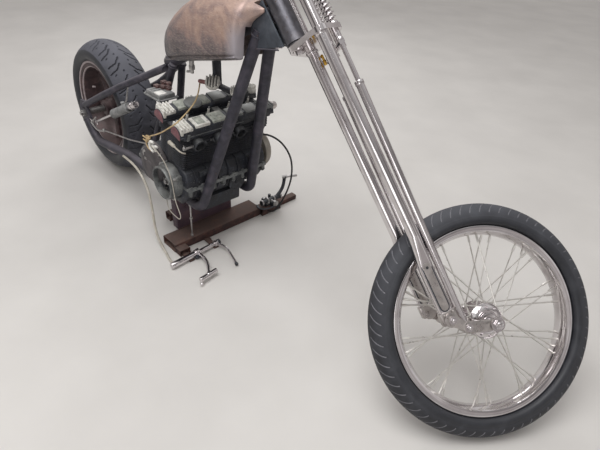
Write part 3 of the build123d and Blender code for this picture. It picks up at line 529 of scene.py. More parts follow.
def plate(bm, outline, low, high, place=HERE, edge=0.0, segments=2):
    """A flat plate: the outline's points are (ahead, up), and its thickness runs along Y."""
    low, high = sorted((low, high))
    face = bm.faces.new([bm.verts.new(place @ Vector((x, low, z))) for x, z in outline])
    grown = bmesh.ops.extrude_face_region(bm, geom=[face])["geom"]
    push = place.to_3x3() @ Vector((0, high - low, 0))
    bmesh.ops.translate(bm, vec=push, verts=[v for v in grown if isinstance(v, bmesh.types.BMVert)])
    if edge:
        flat = [face] + [f for f in grown if isinstance(f, bmesh.types.BMFace)]
        soften(bm, dict.fromkeys(e for f in flat for e in f.edges), edge, segments)


def around(count, radius, first=0.0):
    """Evenly spaced (ahead, up) spots on a circle; the first one is turned up by first."""
    turns = [first + 2 * pi * i / count for i in range(count)]
    return [(radius * cos(t), radius * sin(t)) for t in turns]


def arc(start, middle, end, count):
    """Points on the circle through three points, from start to end."""
    (ax, ay), (bx, by), (cx, cy) = start, middle, end
    d = 2 * (ax * (by - cy) + bx * (cy - ay) + cx * (ay - by))
    ux = ((ax**2 + ay**2) * (by - cy) + (bx**2 + by**2) * (cy - ay) + (cx**2 + cy**2) * (ay - by)) / d
    uy = ((ax**2 + ay**2) * (cx - bx) + (bx**2 + by**2) * (ax - cx) + (cx**2 + cy**2) * (bx - ax)) / d
    first, middle_turn, last = (atan2(y - uy, x - ux) for x, y in (start, middle, end))
    sweep = (last - first) % (2 * pi)
    if (middle_turn - first) % (2 * pi) > sweep:
        sweep -= 2 * pi
    radius = hypot(ax - ux, ay - uy)
    turns = [first + sweep * i / (count - 1) for i in range(count)]
    return [(ux + radius * cos(t), uy + radius * sin(t)) for t in turns]


def rounded(width, height, corner, centre=(0, 0), count=5):
    """The outline of a rectangle with rounded corners."""
    points = []
    for quarter, (sx, sy) in enumerate(((1, 1), (-1, 1), (-1, -1), (1, -1))):
        cx = centre[0] + sx * (width / 2 - corner)
        cy = centre[1] + sy * (height / 2 - corner)
        for i in range(count):
            turn = pi / 2 * (quarter + i / (count - 1))
            points.append((cx + corner * cos(turn), cy + corner * sin(turn)))
    return points


def link_outline(a, b, radius_a, radius_b, count=9):
    """The outline of a link with round ends about two points."""
    heading = atan2(b[1] - a[1], b[0] - a[0])
    points = []
    for (cx, cy), radius, turn in ((b, radius_b, heading), (a, radius_a, heading + pi)):
        for i in range(count):
            t = turn - pi / 2 + pi * i / (count - 1)
            points.append((cx + radius * cos(t), cy + radius * sin(t)))
    return points


def tube(bm, points, radius, bend=0.0, sides=16, flat=1.0):
    """A round bar or wire along straight runs whose corners are eased by bend."""
    points = [Vector(p) for p in points]
    path = [points[0]]
    for before, corner, after in zip(points, points[1:], points[2:]):
        ease = min(bend, 0.48 * (corner - before).length, 0.48 * (after - corner).length)
        first = corner + (before - corner).normalized() * ease
        last = corner + (after - corner).normalized() * ease
        path += interpolate_bezier(first, first.lerp(corner, 0.6), last.lerp(corner, 0.6), last, 7)
    path.append(points[-1])
    rings = []
    facing = (path[1] - path[0]).to_track_quat("Z", "Y")
    for i, point in enumerate(path):
        run = path[min(i + 1, len(path) - 1)] - path[max(i - 1, 0)]
        facing = (facing @ Vector((0, 0, 1))).rotation_difference(run) @ facing
        ring = bmesh.ops.create_circle(bm, segments=sides, radius=radius,
                                       matrix=Matrix.LocRotScale(point, facing, (1, flat, 1)))["verts"]
        rings.append(edges_at(ring))
    for one, two in zip(rings, rings[1:]):
        bmesh.ops.bridge_loops(bm, edges=one + two)
    for ends in (rings[0], rings[-1]):
        bmesh.ops.contextual_create(bm, geom=ends)


def bead(bm, at, axis, radius, size=2.6, count=26):
    """A ring of weld ripples around a tube."""
    turn = Vector(axis).to_track_quat("Z", "Y")
    for i in range(count):
        t = 2 * pi * i / count
        blob = Vector(at) + turn @ Vector((radius * cos(t), radius * sin(t), 0))
        bmesh.ops.create_uvsphere(bm, u_segments=8, v_segments=5, radius=size,
                                  matrix=Matrix.LocRotScale(blob, turn, (1, 1.0, 0.9)))


def bolt(bm, at, axis, across=13.0, height=8.0, washer=True, domed=False):
    """A hex bolt head or nut on its washer, looking along axis."""
    at, axis = Vector(at), Vector(axis).normalized()
    if washer:
        rod(bm, at, at + axis * 2, across * 0.86, sides=20)
    rod(bm, at + axis * 1.5, at + axis * (2 + height), across / sqrt(3), sides=6, edge=0.8)
    if domed:
        rod(bm, at + axis * (1.5 + height), at + axis * (2 + height * 1.6), across * 0.45, across * 0.2,
            sides=16, edge=0.8)
    else:
        rod(bm, at + axis * height, at + axis * (4.5 + height), across * 0.26, sides=12, edge=0.5)


def show(bm, name, finish, body, replaces=(), place=HERE, crease=32):
    """Turns a bmesh, drawn in millimetres in a local frame, into a finished piece.

    A finish is one material, or several that the faces' material_index chooses from."""
    bm.transform(place @ Matrix.Scale(MM, 4))
    bmesh.ops.remove_doubles(bm, verts=bm.verts, dist=1e-6)
    bmesh.ops.recalc_face_normals(bm, faces=bm.faces)
    for face in bm.faces:
        face.smooth = True
    for edge in bm.edges:
        edge.smooth = len(edge.link_faces) == 2 and edge.calc_face_angle() < radians(crease)
    mesh = bpy.data.meshes.new(name)
    bm.to_mesh(mesh)
    bm.free()
    for layer in finish if isinstance(finish, tuple) else (finish,):
        mesh.materials.append(layer)
    piece = bpy.data.objects.new(name, mesh)
    bpy.context.scene.collection.objects.link(piece)
    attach(piece, body)
    if replaces:
        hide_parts(*replaces)
    print(name, sum(len(p.vertices) - 2 for p in mesh.polygons), "triangles")
    return piece


# %% [markdown]
# ## Pieces that keep their construction shape
# Straight and bent tubes, plates and cords are already right. Each gets its finish in place of
# the plain one it came with; the mesh isn't touched.

# %% Finishes for the construction nodes
KEPT = {
    frame_steel: ("backbone", "downtube_left", "downtube_right", "lower_rail_left",
                  "lower_rail_right", "upper_rail_left", "upper_rail_right", "axle_plate_left",
                  "axle_plate_right", "seat_stays", "frame_crossbars", "engine_mounts"),
    scaled_plate: ("neck_gussets",),
    raw_steel: ("head_tube", "steering_stem"),
    chrome: ("lower_yoke", "upper_yoke", "rear_legs", "front_legs", "handlebar_risers", "handlebar"),
    zinc: ("rear_axle",),
    hose_plastic: ("brake_hose",),
    black_rubber: ("clutch_cable",),
    wire_plastic: ("ignition_wire",),
}
for finish, names in KEPT.items():
    for name in names:
        mesh = frame["nodes"][name].data
        mesh.materials.clear()
        mesh.materials.append(finish)
print("kept", sum(len(names) for names in KEPT.values()), "construction nodes")

# %% [markdown]
# ## Front tyre
# A slim 21 inch tyre. Its section is spun round the axle in sixteen steps for each groove of
# the tread. One step of every sixteen is then pressed in across the shoulder, and each ring is
# turned a little more the further it lies from the middle, so the grooves come out slanted
# and crisp without any cutting. They are packed with paler grit.

# %% Front tyre
SIPES = 66
STEPS_A_SIPE = 16
FRONT_STEPS = SIPES * STEPS_A_SIPE
SIPE_FROM, SIPE_TO = 9, 40
SIPE_ABOVE = 308
SIPE_DEPTH = 3.0
SIPE_SLANT = radians(-0.17)
SLANT_FROM = 6
FRONT_TREAD_ABOVE = 305
SHOULDER_SHARE = 0.93
TREAD_FACE, GROOVE_FACE = 1, 2


def press_sipes(bm):
    """Presses one step of every sipe's steps in across the shoulders, and slants the rings.

    The other side's sipes lie half a pitch further on. Returns the pressed vertices."""
    sunk = set()
    for vert in bm.verts:
        x, across, z = vert.co
        out = hypot(x, z)
        turn = atan2(x, z)
        step = round(turn / (2 * pi) * FRONT_STEPS) + (STEPS_A_SIPE // 2 if across > 0 else 0)
        if step % STEPS_A_SIPE == 0 and SIPE_FROM < abs(across) < SIPE_TO and out > SIPE_ABOVE:
            out -= SIPE_DEPTH
            sunk.add(vert)
        turn += SIPE_SLANT * max(0.0, abs(across) - SLANT_FROM)
        vert.co = (out * sin(turn), across, out * cos(turn))
    return sunk


def tyre_section(half, radius, shoulder_r, belly_r, foot, bead, crown_count, wall_count):
    """A tyre's closed outline: a crown, two walls that bulge to half, and feet that narrow to the beads."""
    edge = half * SHOULDER_SHARE
    crown = arc((-edge, shoulder_r), (0, radius), (edge, shoulder_r), crown_count)
    left = arc((edge, shoulder_r), (half, belly_r), foot, wall_count)
    right = arc((-foot[0], foot[1]), (-half, belly_r), (-edge, shoulder_r), wall_count)
    return crown + left[1:] + [bead, (-bead[0], bead[1])] + right[:-1]


bm = bmesh.new()
turned(bm, tyre_section(45.0, 346.0, 306, 298, (26, 283), (24, 268), 27, 7), steps=FRONT_STEPS)
sunk = press_sipes(bm)
for face in bm.faces:
    if sum(v in sunk for v in face.verts) > 1:
        face.material_index = GROOVE_FACE
    elif all(hypot(v.co.x, v.co.z) > FRONT_TREAD_ABOVE for v in face.verts):
        face.material_index = TREAD_FACE
show(bm, "front_tyre_tread", (wall_rubber, front_tread_rubber, packed_grit), "front_wheel",
     ["front_tyre"], FRONT_WHEEL, 48)

# %% [markdown]
# ## Front rim
# A chromed steel rim: two rolled lips with a sloping flange each and a drop centre between
# them. One closed profile, turned.

# %% Front rim
RIM_HALF = 32.0
rim_side = [(27, 267)] + arc((27, 279), (29.5, 280.5), (RIM_HALF, 278), 6)
rim_side += [(RIM_HALF, 268), (30, 262), (22, 259), (15, 253.5), (6, 252)]
bm = bmesh.new()
turned(bm, rim_side + [(-x, r) for x, r in reversed(rim_side)], steps=180)
show(bm, "front_rim_chrome", chrome, "front_wheel", ["front_rim"], FRONT_WHEEL, 40)

# %% [markdown]
# ## Spokes
# Forty spokes laced in pairs: from each flange every other spoke leans forward and the ones
# between lean back, and they cross on the way to the rim. Each has a thin straight wire, a
# short head across the flange and a fatter nipple at the rim.

# %% Laced spokes
SPOKES_A_SIDE = 20
FLANGE_Y = 33.0
FLANGE_HOLES_R = 46.0
RIM_HOLES_R = 251
LACE = radians(50)
bm = bmesh.new()
for side in (-1, 1):
    for spoke in range(SPOKES_A_SIDE):
        lean = LACE if spoke % 2 else -LACE
        root = 2 * pi * (spoke + (0.25 if side > 0 else 0)) / SPOKES_A_SIDE
        tip = root + lean
        head = Vector((FLANGE_HOLES_R * cos(root), side * (FLANGE_Y + (2 if spoke % 2 else -2)),
                       FLANGE_HOLES_R * sin(root)))
        nipple = Vector((RIM_HOLES_R * cos(tip), side * 7, RIM_HOLES_R * sin(tip)))
        run = (nipple - head).normalized()
        rod(bm, head, nipple, 2.1, sides=6)
        rod(bm, nipple - run * 20, nipple + run * 3, 3.6, 3.0, sides=8)
        rod(bm, head - Vector((0, 4 * side, 0)), head + Vector((0, 4 * side, 0)), 2.6, sides=8)
show(bm, "front_spokes_laced", spoke_wire, "front_wheel", ["front_spokes"], FRONT_WHEEL)

# %% [markdown]
# ## Front hub
# A chromed hub with two spoke flanges. On the right sits a domed flange with a ring of round
# holes and a raised boss, where a disc would bolt on. The holes are real: small cylinders are
# taken away from the turned dome with a Boolean, whose result becomes the mesh.

# %% Front hub


def carve(bm, cutter, rounding=0):
    """Takes one bmesh away from another, subdivided first by rounding, as a new bmesh."""
    solids = []
    for part in (bm, cutter):
        bmesh.ops.remove_doubles(part, verts=part.verts, dist=1e-4)
        bmesh.ops.recalc_face_normals(part, faces=part.faces)
        mesh = bpy.data.meshes.new("carving")
        part.to_mesh(mesh)
        part.free()
        solids.append(bpy.data.objects.new("carving", mesh))
        bpy.context.scene.collection.objects.link(solids[-1])
    if rounding:
        smooth = solids[0].modifiers.new("round", "SUBSURF")
        smooth.levels = smooth.render_levels = rounding
    cut = solids[0].modifiers.new("cut", "BOOLEAN")
    cut.operation = "DIFFERENCE"
    cut.solver = "EXACT"
    cut.object = solids[1]
    result = bmesh.new()
    result.from_object(solids[0], bpy.context.evaluated_depsgraph_get())
    for solid in solids:
        bpy.data.objects.remove(solid)
    return result


def round_holes(cutter, count, ring_r, hole_r, low, high, sides=16):
    """Adds a ring of round cutters that run along Y."""
    for x, z in around(count, ring_r):
        rod(cutter, (x, low, z), (x, high, z), hole_r, sides=sides)


bm = bmesh.new()
turned(bm, [(-29, 10), (-29, 25), (-30, 51), (-35, 52), (-36, 51), (-36, 27), (-24, 23), (24, 23), (30, 27),
            (30, 51), (31, 52), (35, 52), (36, 50), (37, 24), (46, 20), (47.5, 18), (47.5, 10)], steps=72)
show(bm, "front_hub_body", chrome, "front_wheel", ["front_hub"], FRONT_WHEEL)

dome = arc((-37, 50), (-42, 44), (-46, 34), 8)
bm = bmesh.new()
turned(bm, [(-36.5, 12), (-36.5, 50)] + dome + [(-44, 31), (-44, 27), (-49, 25), (-50, 22), (-50, 12)],
       steps=72)
cutter = bmesh.new()
round_holes(cutter, 10, 41, 4.6, -60, -30)
show(carve(bm, cutter), "front_hub_flange", chrome, "front_wheel", (), FRONT_WHEEL)

# %% [markdown]
# ## Rockers
# Short polished links carry the axle ahead of the legs. The fork here has, on each side, a
# round boss on the rear leg, a link from the front leg's pivot to the axle, a clamp around the
# axle and a bright bolt in every joint. Links are plates with round ends, softened all round.

# %% Rockers and axle nuts
LEG_X = 53.5
LEG_Y = 72.5
REAR_PIVOT = (45.5, -893.0)
FRONT_PIVOT = (80.0, -933.0)
AXLE = (159.5, -962.0)
ROCKER_IN = 83.5
ROCKER_OUT = 96.0
bm = bmesh.new()
for side in (-1, 1):
    low, high = sorted((side * ROCKER_IN, side * (ROCKER_OUT - 1)))
    plate(bm, link_outline(FRONT_PIVOT, AXLE, 17, 15), low, high, edge=2.2)
    plate(bm, link_outline(REAR_PIVOT, FRONT_PIVOT, 18, 11), low + 1.5, high - 1.5, edge=2.0)
    for (x, z), boss in ((REAR_PIVOT, 21), (FRONT_PIVOT, 17)):
        rod(bm, (x, side * (LEG_Y - 13), z), (x, side * (ROCKER_OUT - 2), z), boss, sides=40, edge=2.0)
        rod(bm, (x, side * (ROCKER_OUT - 3), z), (x, side * (ROCKER_OUT + 1), z), boss * 0.62, sides=32,
            edge=1.0)
    rod(bm, (AXLE[0], side * ROCKER_IN, AXLE[1]), (AXLE[0], side * (ROCKER_OUT + 1), AXLE[1]), 18, sides=40,
        edge=2.0)
    box(bm, (AXLE[0] - 34, low, AXLE[1] + 12), (AXLE[0] - 12, high, AXLE[1] + 22), 3)
show(bm, "fork_rockers", satin_alloy, "fork", ["rockers"], FORK)

bm = bmesh.new()
for side in (-1, 1):
    for x, z in (REAR_PIVOT, FRONT_PIVOT):
        bolt(bm, (x, side * (ROCKER_OUT + 0.5), z), (0, side, 0), 13, 5, domed=True)
show(bm, "fork_rocker_bolts", chrome, "fork", (), FORK)

bm = bmesh.new()
for side in (-1, 1):
    rod(bm, (AXLE[0], side * 52, AXLE[1]), (AXLE[0], side * (ROCKER_IN - 0.3), AXLE[1]), 14, sides=32,
        edge=1.0)
    bolt(bm, (AXLE[0], side * (ROCKER_OUT + 2), AXLE[1]), (0, side, 0), 24, 8)
    rod(bm, (AXLE[0], side * 104, AXLE[1]), (AXLE[0], side * 117.5, AXLE[1]), 8.3, sides=24, edge=1.5)
rod(bm, (AXLE[0], -104, AXLE[1]), (AXLE[0], 104, AXLE[1]), 8.2, sides=24)
show(bm, "front_axle_nuts", chrome, "fork", ["front_axle"], FORK)

# %% [markdown]
# ## Fork blades
# Below their round part the rear legs are flat blades. A long raised panel with round ends
# runs down each face and catches the light. A dark plate under each panel is painted shade
# round its edge, and a dark disc at its top is the painted shade of a small hole.

# %% Blade panels
BLADE_X = 45.5
BLADE_TOP = (BLADE_X, -730)
BLADE_FOOT = (BLADE_X, -852)
bm = bmesh.new()
for y in (-LEG_Y, LEG_Y):
    for side in (-1, 1):
        plate(bm, link_outline(BLADE_TOP, BLADE_FOOT, 12, 12), y + side * 9.2, y + side * 11.6, edge=1.2)
show(bm, "fork_blade_panels", satin_alloy, "fork", (), FORK)

# Painted shade: dark plates a little larger than the panels, and dark discs for the holes
bm = bmesh.new()
for y in (-LEG_Y, LEG_Y):
    for side in (-1, 1):
        rod(bm, (BLADE_X, y + side * 11.2, -733), (BLADE_X, y + side * 12.0, -733), 4.2, sides=16)
        plate(bm, link_outline(BLADE_TOP, BLADE_FOOT, 15.5, 15.5), y + side * 9, y + side * 10.2, edge=0.5)
show(bm, "fork_blade_shadows", engine_paint, "fork", (), FORK)

bm = bmesh.new()
for y in (-LEG_Y, LEG_Y):
    box(bm, (BLADE_X - 25, y - 12.5, -906), (BLADE_X + 25, y + 12.5, -866), 5)
    for x in (BLADE_X - 15, BLADE_X + 15):
        bolt(bm, (x, y - 12.5 if y < 0 else y + 12.5, -873), (0, -1 if y < 0 else 1, 0), 7, 3, washer=False,
             domed=True)
show(bm, "fork_blade_blocks", satin_alloy, "fork", (), FORK)

# %% [markdown]
# ## Springs
# Two chromed coil springs stand between the yokes. A circle of wire is spun about the spring's
# axis while it climbs, which is a screw: the spin operator's dvec is the climb at each step.

# %% Coil springs
SPRING_X = 108.0
SPRING_Y = 40.0
WIRE_R = 3.3
COIL_R = 13.4
COILS = 15
STEPS_A_TURN = 22
SPRING_LOW = 3.0
SPRING_HIGH = 198.0
bm = bmesh.new()
for y in (-SPRING_Y, SPRING_Y):
    foot = Matrix.Translation((SPRING_X + COIL_R, y, SPRING_LOW)) @ LEVEL
    wire = bmesh.ops.create_circle(bm, segments=10, radius=WIRE_R, matrix=foot)["verts"]
    rims = edges_at(wire)
    bmesh.ops.contextual_create(bm, geom=wire)
    climb = (SPRING_HIGH - SPRING_LOW) / (COILS * STEPS_A_TURN)
    bmesh.ops.spin(bm, geom=wire + rims, cent=(SPRING_X, y, 0), axis=UP, dvec=(0, 0, climb),
                   angle=2 * pi * COILS, steps=COILS * STEPS_A_TURN)
    rod(bm, (SPRING_X, y, -6), (SPRING_X, y, 206), 6.5, sides=24)
    for z, up in ((-6.5, 1), (206.5, -1)):
        rod(bm, (SPRING_X, y, z), (SPRING_X, y, z + 9 * up), 16.8, 15, sides=36, edge=1.2)
bmesh.ops.holes_fill(bm, edges=[e for e in bm.edges if e.is_boundary], sides=12)
show(bm, "fork_coil_springs", chrome, "fork", ["fork_springs"], FORK, 40)

# %% Yoke fittings
bm = bmesh.new()
for y in (-SPRING_Y, SPRING_Y):
    bolt(bm, (SPRING_X, y, 223), UP, 17, 8, domed=True)
for z, up in ((-23, -1), (223, 1)):
    bolt(bm, (0, 0, z), (0, 0, up), 26, 9)
    for y in (-LEG_Y, LEG_Y):
        rod(bm, (LEG_X, y, z), (LEG_X, y, z + 6 * up), 20, 18.6, sides=40, edge=1.0)
for y in (-LEG_Y, LEG_Y):
    rod(bm, (LEG_X, y, 231), (LEG_X, y, 238), 16, 11, sides=32, edge=1.5)
    rod(bm, (95, y, -52), (95, y, -62), 9.5, 11, sides=24, edge=1.0)
    rod(bm, (94, y, -183), (94, y, -196), 13.5, sides=28, edge=1.5)
show(bm, "fork_yoke_nuts", chrome, "fork", (), FORK)

bm = bmesh.new()
rod(bm, (LEG_X + 17, 52, -78), (LEG_X + 17, 52, -62), 5.5, sides=6, edge=0.8)
rod(bm, (LEG_X + 17, 52, -64), (LEG_X + 17, 52, -46), 4.0, sides=16, edge=0.6)
rod(bm, (LEG_X + 17, 52, -48), (LEG_X + 17, 60, -48), 4.6, sides=16, edge=0.6)
show(bm, "fork_brass_fitting", brass, "fork", (), FORK)

# %% [markdown]
# ## Fuel tank
# A peanut tank pressed from sheet steel: a round back, bulging sides that turn in sharply to
# two narrow front panels, and a nose that straddles the neck. It is drawn as sixteen rings
# from tail to nose, bridged and subdivided like a car body; the tunnel for the backbone is
# then cut out of its belly. A rolled seam runs along the bottom edge.

# %% Tank shell
# Rings along the tank: place ahead, half width, underside, top
TANK_RINGS = ((6, 18, 786, 808), (14, 56, 776, 834), (38, 92, 766, 868), (80, 118, 764, 916),
              (135, 128, 778, 966), (200, 131, 793, 1006), (270, 127, 811, 1030), (345, 120, 830, 1041),
              (420, 109, 849, 1044), (452, 103, 858, 1043), (465, 99, 862, 1042), (469, 90, 880, 1041),
              (473, 72, 968, 1040), (505, 60, 990, 1037), (538, 50, 1010, 1031), (546, 44, 1016, 1028))
RING_POINTS = 36


def tank_ring(bm, x, half, low, high):
    """One section across the tank: round on top, fuller low down, nearly flat beneath."""
    waist = low + 0.42 * (high - low)
    ring = []
    for i in range(RING_POINTS):
        t = 2 * pi * i / RING_POINTS
        power = 2 / 2.5 if sin(t) > 0 else 2 / 4.5
        reach = (high if sin(t) > 0 else low) - waist
        across = half * abs(cos(t)) ** power * (1 if cos(t) > 0 else -1)
        ring.append(bm.verts.new((x, across, waist + reach * abs(sin(t)) ** power)))
    return [bm.edges.new((a, b)) for a, b in zip(ring, ring[1:] + ring[:1])]


body = bmesh.new()
rings = [tank_ring(body, *ring) for ring in TANK_RINGS]
for one, two in zip(rings, rings[1:]):
    bmesh.ops.bridge_loops(body, edges=one + two)
for ends in (rings[0], rings[-1]):
    bmesh.ops.contextual_create(body, geom=ends)
tunnel = bmesh.new()
plate(tunnel, ((-60, 600), (-60, 750), (560, 1053), (560, 600)), -34, 34)
recess = bmesh.new()
plate(recess, ((396, 600), (396, 950), (404, 958), (480, 999), (480, 600)), -62, 62, edge=1.5)
neck_gap = bmesh.new()
plate(neck_gap, ((440, 600), (440, 979), (492, 1008), (500, 1100), (600, 1100), (600, 600)), -42, 42)
shell = carve(carve(carve(body, tunnel, rounding=1), recess), neck_gap)
show(shell, "fuel_tank_shell", tank_metal, "frame", ["fuel_tank"], crease=38)

# %% [markdown]
# The seam where the side pressing meets the floor is a thin flange, rolled and soldered. The
# filler neck and cap sit on top, and a tap stub underneath. The same rings give the seam its
# line, so it follows the shell.

# %% Tank seam, cap and tap
SEAM_INWARD = 0.985
SEAM_HEIGHT = 0.085
bm = bmesh.new()
for side in (-1, 1):
    edge_line = [(x, side * half * SEAM_INWARD, low + SEAM_HEIGHT * (high - low))
                 for x, half, low, high in TANK_RINGS[2:11]]
    for start, end in zip(edge_line, edge_line[1:]):
        rod(bm, start, end, 2.3, sides=8)
    for point in edge_line:
        bmesh.ops.create_icosphere(bm, subdivisions=1, radius=2.3, matrix=Matrix.Translation(point))
show(bm, "fuel_tank_seam", tank_metal, "frame")

bm = bmesh.new()
CAP_AT = Matrix.Translation((300, 0, 1028)) @ Matrix.Rotation(radians(-3), 4, "Y") @ LEVEL
turned(bm, [(-4, 2), (-4, 34), (2, 34), (4, 31), (5, 29), (14, 28.5), (17, 26), (18.5, 20), (19, 2)],
       place=CAP_AT, steps=48)
show(bm, "fuel_filler_cap", zinc, "frame")

bm = bmesh.new()
rod(bm, (190, -78, 800), (190, -78, 774), 9, sides=20, edge=1.0)
rod(bm, (190, -78, 778), (190, -78, 764), 12, sides=6, edge=0.8)
rod(bm, (190, -78, 768), (190, -78, 750), 7, 6, sides=16, edge=0.8)
rod(bm, (190, -78, 757), (166, -84, 751), 4.2, sides=12, edge=0.6)
show(bm, "fuel_tap", zinc, "frame")

# %% [markdown]
# ## Crankcase
# A four cylinder, air cooled engine: a crankcase cast in two halves that bolt together along
# a flange at the level of the crankshaft, the gearbox behind it, and a finned sump below. The
# outline of each lump is pushed out across the bike and its edges are rounded the way a sand
# casting's are. Ribs, flange, bosses and bolts are separate so that they stay crisp.

# %% Crankcase
CASE_HALF = 190
GEARBOX_LEFT = 92
bm = bmesh.new()
plate(bm, [(62, -78), (88, -40), (101, -4), (101, 26), (88, 56), (60, 67), (-80, 96), (-106, 74),
           (-128, -96), (36, -98)], -CASE_HALF + 2, CASE_HALF - 2, edge=9, segments=3)
plate(bm, [(-100, 72), (-240, 48), (-270, 14), (-266, -80), (-238, -96), (-100, -98)], -CASE_HALF + 3,
      GEARBOX_LEFT - 1, edge=9, segments=3)
for y in (-150, -92, -46, 0, 46, 92, 150):
    plate(bm, [(58, -82), (93, -44), (107, -4), (107, 29), (92, 60), (60, 70)], y - 3.5, y + 3.5, edge=1.5)
for y in (-168, -112, -56, 0, 56):
    plate(bm, [(-110, 72), (-243, 49), (-274, 14), (-270, -80), (-240, -98), (-230, -60), (-230, 20),
               (-110, 50)], y - 3, y + 3, edge=1.2)
show(bm, "crankcase_castings", engine_paint, "frame", ["crankcase"], ENGINE)

bm = bmesh.new()
plate(bm, [(-276, -14), (-100, -14), (-100, 0), (-276, 0)], -CASE_HALF + 1.5, GEARBOX_LEFT - 1, edge=2.5)
plate(bm, [(-120, -14), (107, -14), (107, 0), (-120, 0)], -CASE_HALF + 1, CASE_HALF - 1, edge=2.5)
for y in (-176, -122, -69, -23, 23, 69, 122, 176):
    rod(bm, (98, y, -30), (98, y, 4), 9, sides=20, edge=1.5)
    bolt(bm, (98, y, -30), (0, 0, -1), 12, 6)
for y in (-176, -100, -30, 40):
    rod(bm, (-262, y, -28), (-262, y, 5), 8.5, sides=20, edge=1.5)
    bolt(bm, (-262, y, 5), UP, 12, 6)
show(bm, "crankcase_flange", cast_alloy, "frame", (), ENGINE)

# %% Sump
bm = bmesh.new()
plate(bm, [(-120, -95), (60, -95), (56, -156), (30, -170), (-80, -170), (-105, -155)], -86, 86, edge=7,
      segments=3)
plate(bm, [(-124, -103), (64, -103), (64, -94), (-124, -94)], -88, 88, edge=2)
for i in range(9):
    x = -84 + i * 14
    plate(bm, rounded(3.2, 8, 1.4, (x, -172.5)), -80, 80)
rod(bm, (-20, 0, -168), (-20, 0, -177), 12, sides=6, edge=1.0)
for y in (-80, -48, -16, 16, 48, 80):
    for x in (58, -118):
        bolt(bm, (x, y, -102), (0, 0, -1), 9, 5, washer=False)
show(bm, "engine_sump", engine_paint, "frame", (), ENGINE)

# %% [markdown]
# The front of the case carries what a used engine shows: a round oil filter housing with its
# ribs and bolt, and casting bosses beside it.

# %% Case front
bm = bmesh.new()
rod(bm, (88, 40, -46), (101, 40, -46), 38, sides=56, edge=1.5)
for y, z in around(10, 33):
    rod(bm, (92, 40 + y, -46 + z), (104.5, 40 + y, -46 + z), 2.4, sides=10, edge=0.6)
rod(bm, (98, 40, -46), (105, 40, -46), 9, sides=6, edge=0.8)
box(bm, (84, -132, 34), (103, -92, 54), 2.0)
box(bm, (84, 96, 26), (101, 138, 50), 2.0)
rod(bm, (92, -112, 44), (106.5, -112, 44), 7, sides=6, edge=0.8)
show(bm, "engine_oil_fittings", grimy_alloy, "frame", (), ENGINE)

# %% [markdown]
# ## Cylinder block
# Nine thin cooling fins run right round the block. Every fin is one flat plate whose outline
# dips between the cylinders. The liners between them and the studs are a piece of their own.

# %% Cylinder block
CYLINDER_Y = (-138, -46, 46, 138)
FIN_PITCH = 10
FIN_THICK = 3.0
bm = bmesh.new()
box(bm, (-62, -177, 88), (62, 177, 186), 3)
for y in CYLINDER_Y:
    rod(bm, (0, y, 89), (0, y, 186), 58, sides=48)
for x in (-68, 68):
    for y in (-180, -92, 0, 92, 180):
        rod(bm, (x, y, 90), (x, y, 186), 8, sides=16)
show(bm, "cylinder_barrels", engine_paint, "frame", (), CYLINDERS)

bm = bmesh.new()
dips = []
for y in CYLINDER_Y:
    dips += [(84, y - 40), (84, y + 40), (79, y + 46)]
dips = dips[1:-1]
corner = [(84, 176), (74, 190), (58, 194)]
right_end = [(x, -y) for x, y in corner] + [(-x, -y) for x, y in reversed(corner)]
left_end = [(-x, y) for x, y in corner] + corner[::-1]
fin_outline = right_end + [(-x, y) for x, y in dips] + left_end + dips[::-1]
for fin in range(9):
    low = 98 + fin * FIN_PITCH
    plate(bm, fin_outline, low, low + FIN_THICK, place=LEVEL, edge=0.9)
box(bm, (-76, -184, 88), (76, 184, 92), 1.5)
show(bm, "cylinder_fins", engine_paint, "frame", ["cylinder_block"], CYLINDERS)

# %% [markdown]
# ## Cylinder head
# The head has four round exhaust ports in front, each with a clamp and two studs, and four
# rubber inlet stubs behind. Fins run round it, a little deeper low down than at the top.

# %% Cylinder head
bm = bmesh.new()
box(bm, (-78, -190, 186), (78, 190, 248), 4)
for fin in range(5):
    low = 190 + fin * FIN_PITCH
    depth = 92 - 2.5 * abs(fin - 1)
    plate(bm, rounded(2 * depth, 388, 16), low, low + FIN_THICK, place=LEVEL, edge=0.9)
box(bm, (-90, -195, 238), (90, 195, 248), 3)
show(bm, "cylinder_head_casting", engine_paint, "frame", ["cylinder_head"], CYLINDERS)

PORT_TILT = 0.35
INLET_TILT = 0.25
PORT_DROP = PORT_TILT - LEAN
PORT_RUN = Vector((cos(PORT_DROP), 0, -sin(PORT_DROP)))
bm = bmesh.new()
for y in CYLINDER_Y:
    mouth = Vector((88, y, 211))
    turned(bm, [(-6, 17), (-6, 25), (18, 23.5), (19.5, 22), (19.5, 18), (0, 17)],
           place=looking(mouth, PORT_RUN), steps=32)
    for out in (-29, 29):
        stud = mouth + Vector((0, out, 0))
        rod(bm, stud - PORT_RUN * 6, stud + PORT_RUN * 17, 3.2, sides=10)
        bolt(bm, stud + PORT_RUN * 3, PORT_RUN, 10, 5, washer=False)
    rod(bm, mouth + PORT_RUN * 2 + Vector((0, -34, 0)), mouth + PORT_RUN * 2 + Vector((0, 34, 0)), 4.5,
        sides=12)
show(bm, "exhaust_ports", grimy_alloy, "frame", (), CYLINDERS)

bm = bmesh.new()
INLET_RUN = Vector((-cos(INLET_TILT - LEAN), 0, sin(INLET_TILT - LEAN)))
for y in CYLINDER_Y:
    mouth = Vector((-88, y, 216))
    turned(bm, [(-4, 18), (-4, 24), (6, 22), (12, 22), (13, 22.8), (20, 22.8), (21, 22), (27, 21.5),
                (27, 18)], place=looking(mouth, INLET_RUN), steps=32)
show(bm, "inlet_stubs", black_rubber, "frame", (), CYLINDERS)

# %% [markdown]
# Four spark plugs stand in the head between the cam boxes, each with its white ceramic and a
# hexagon; their caps are missing.

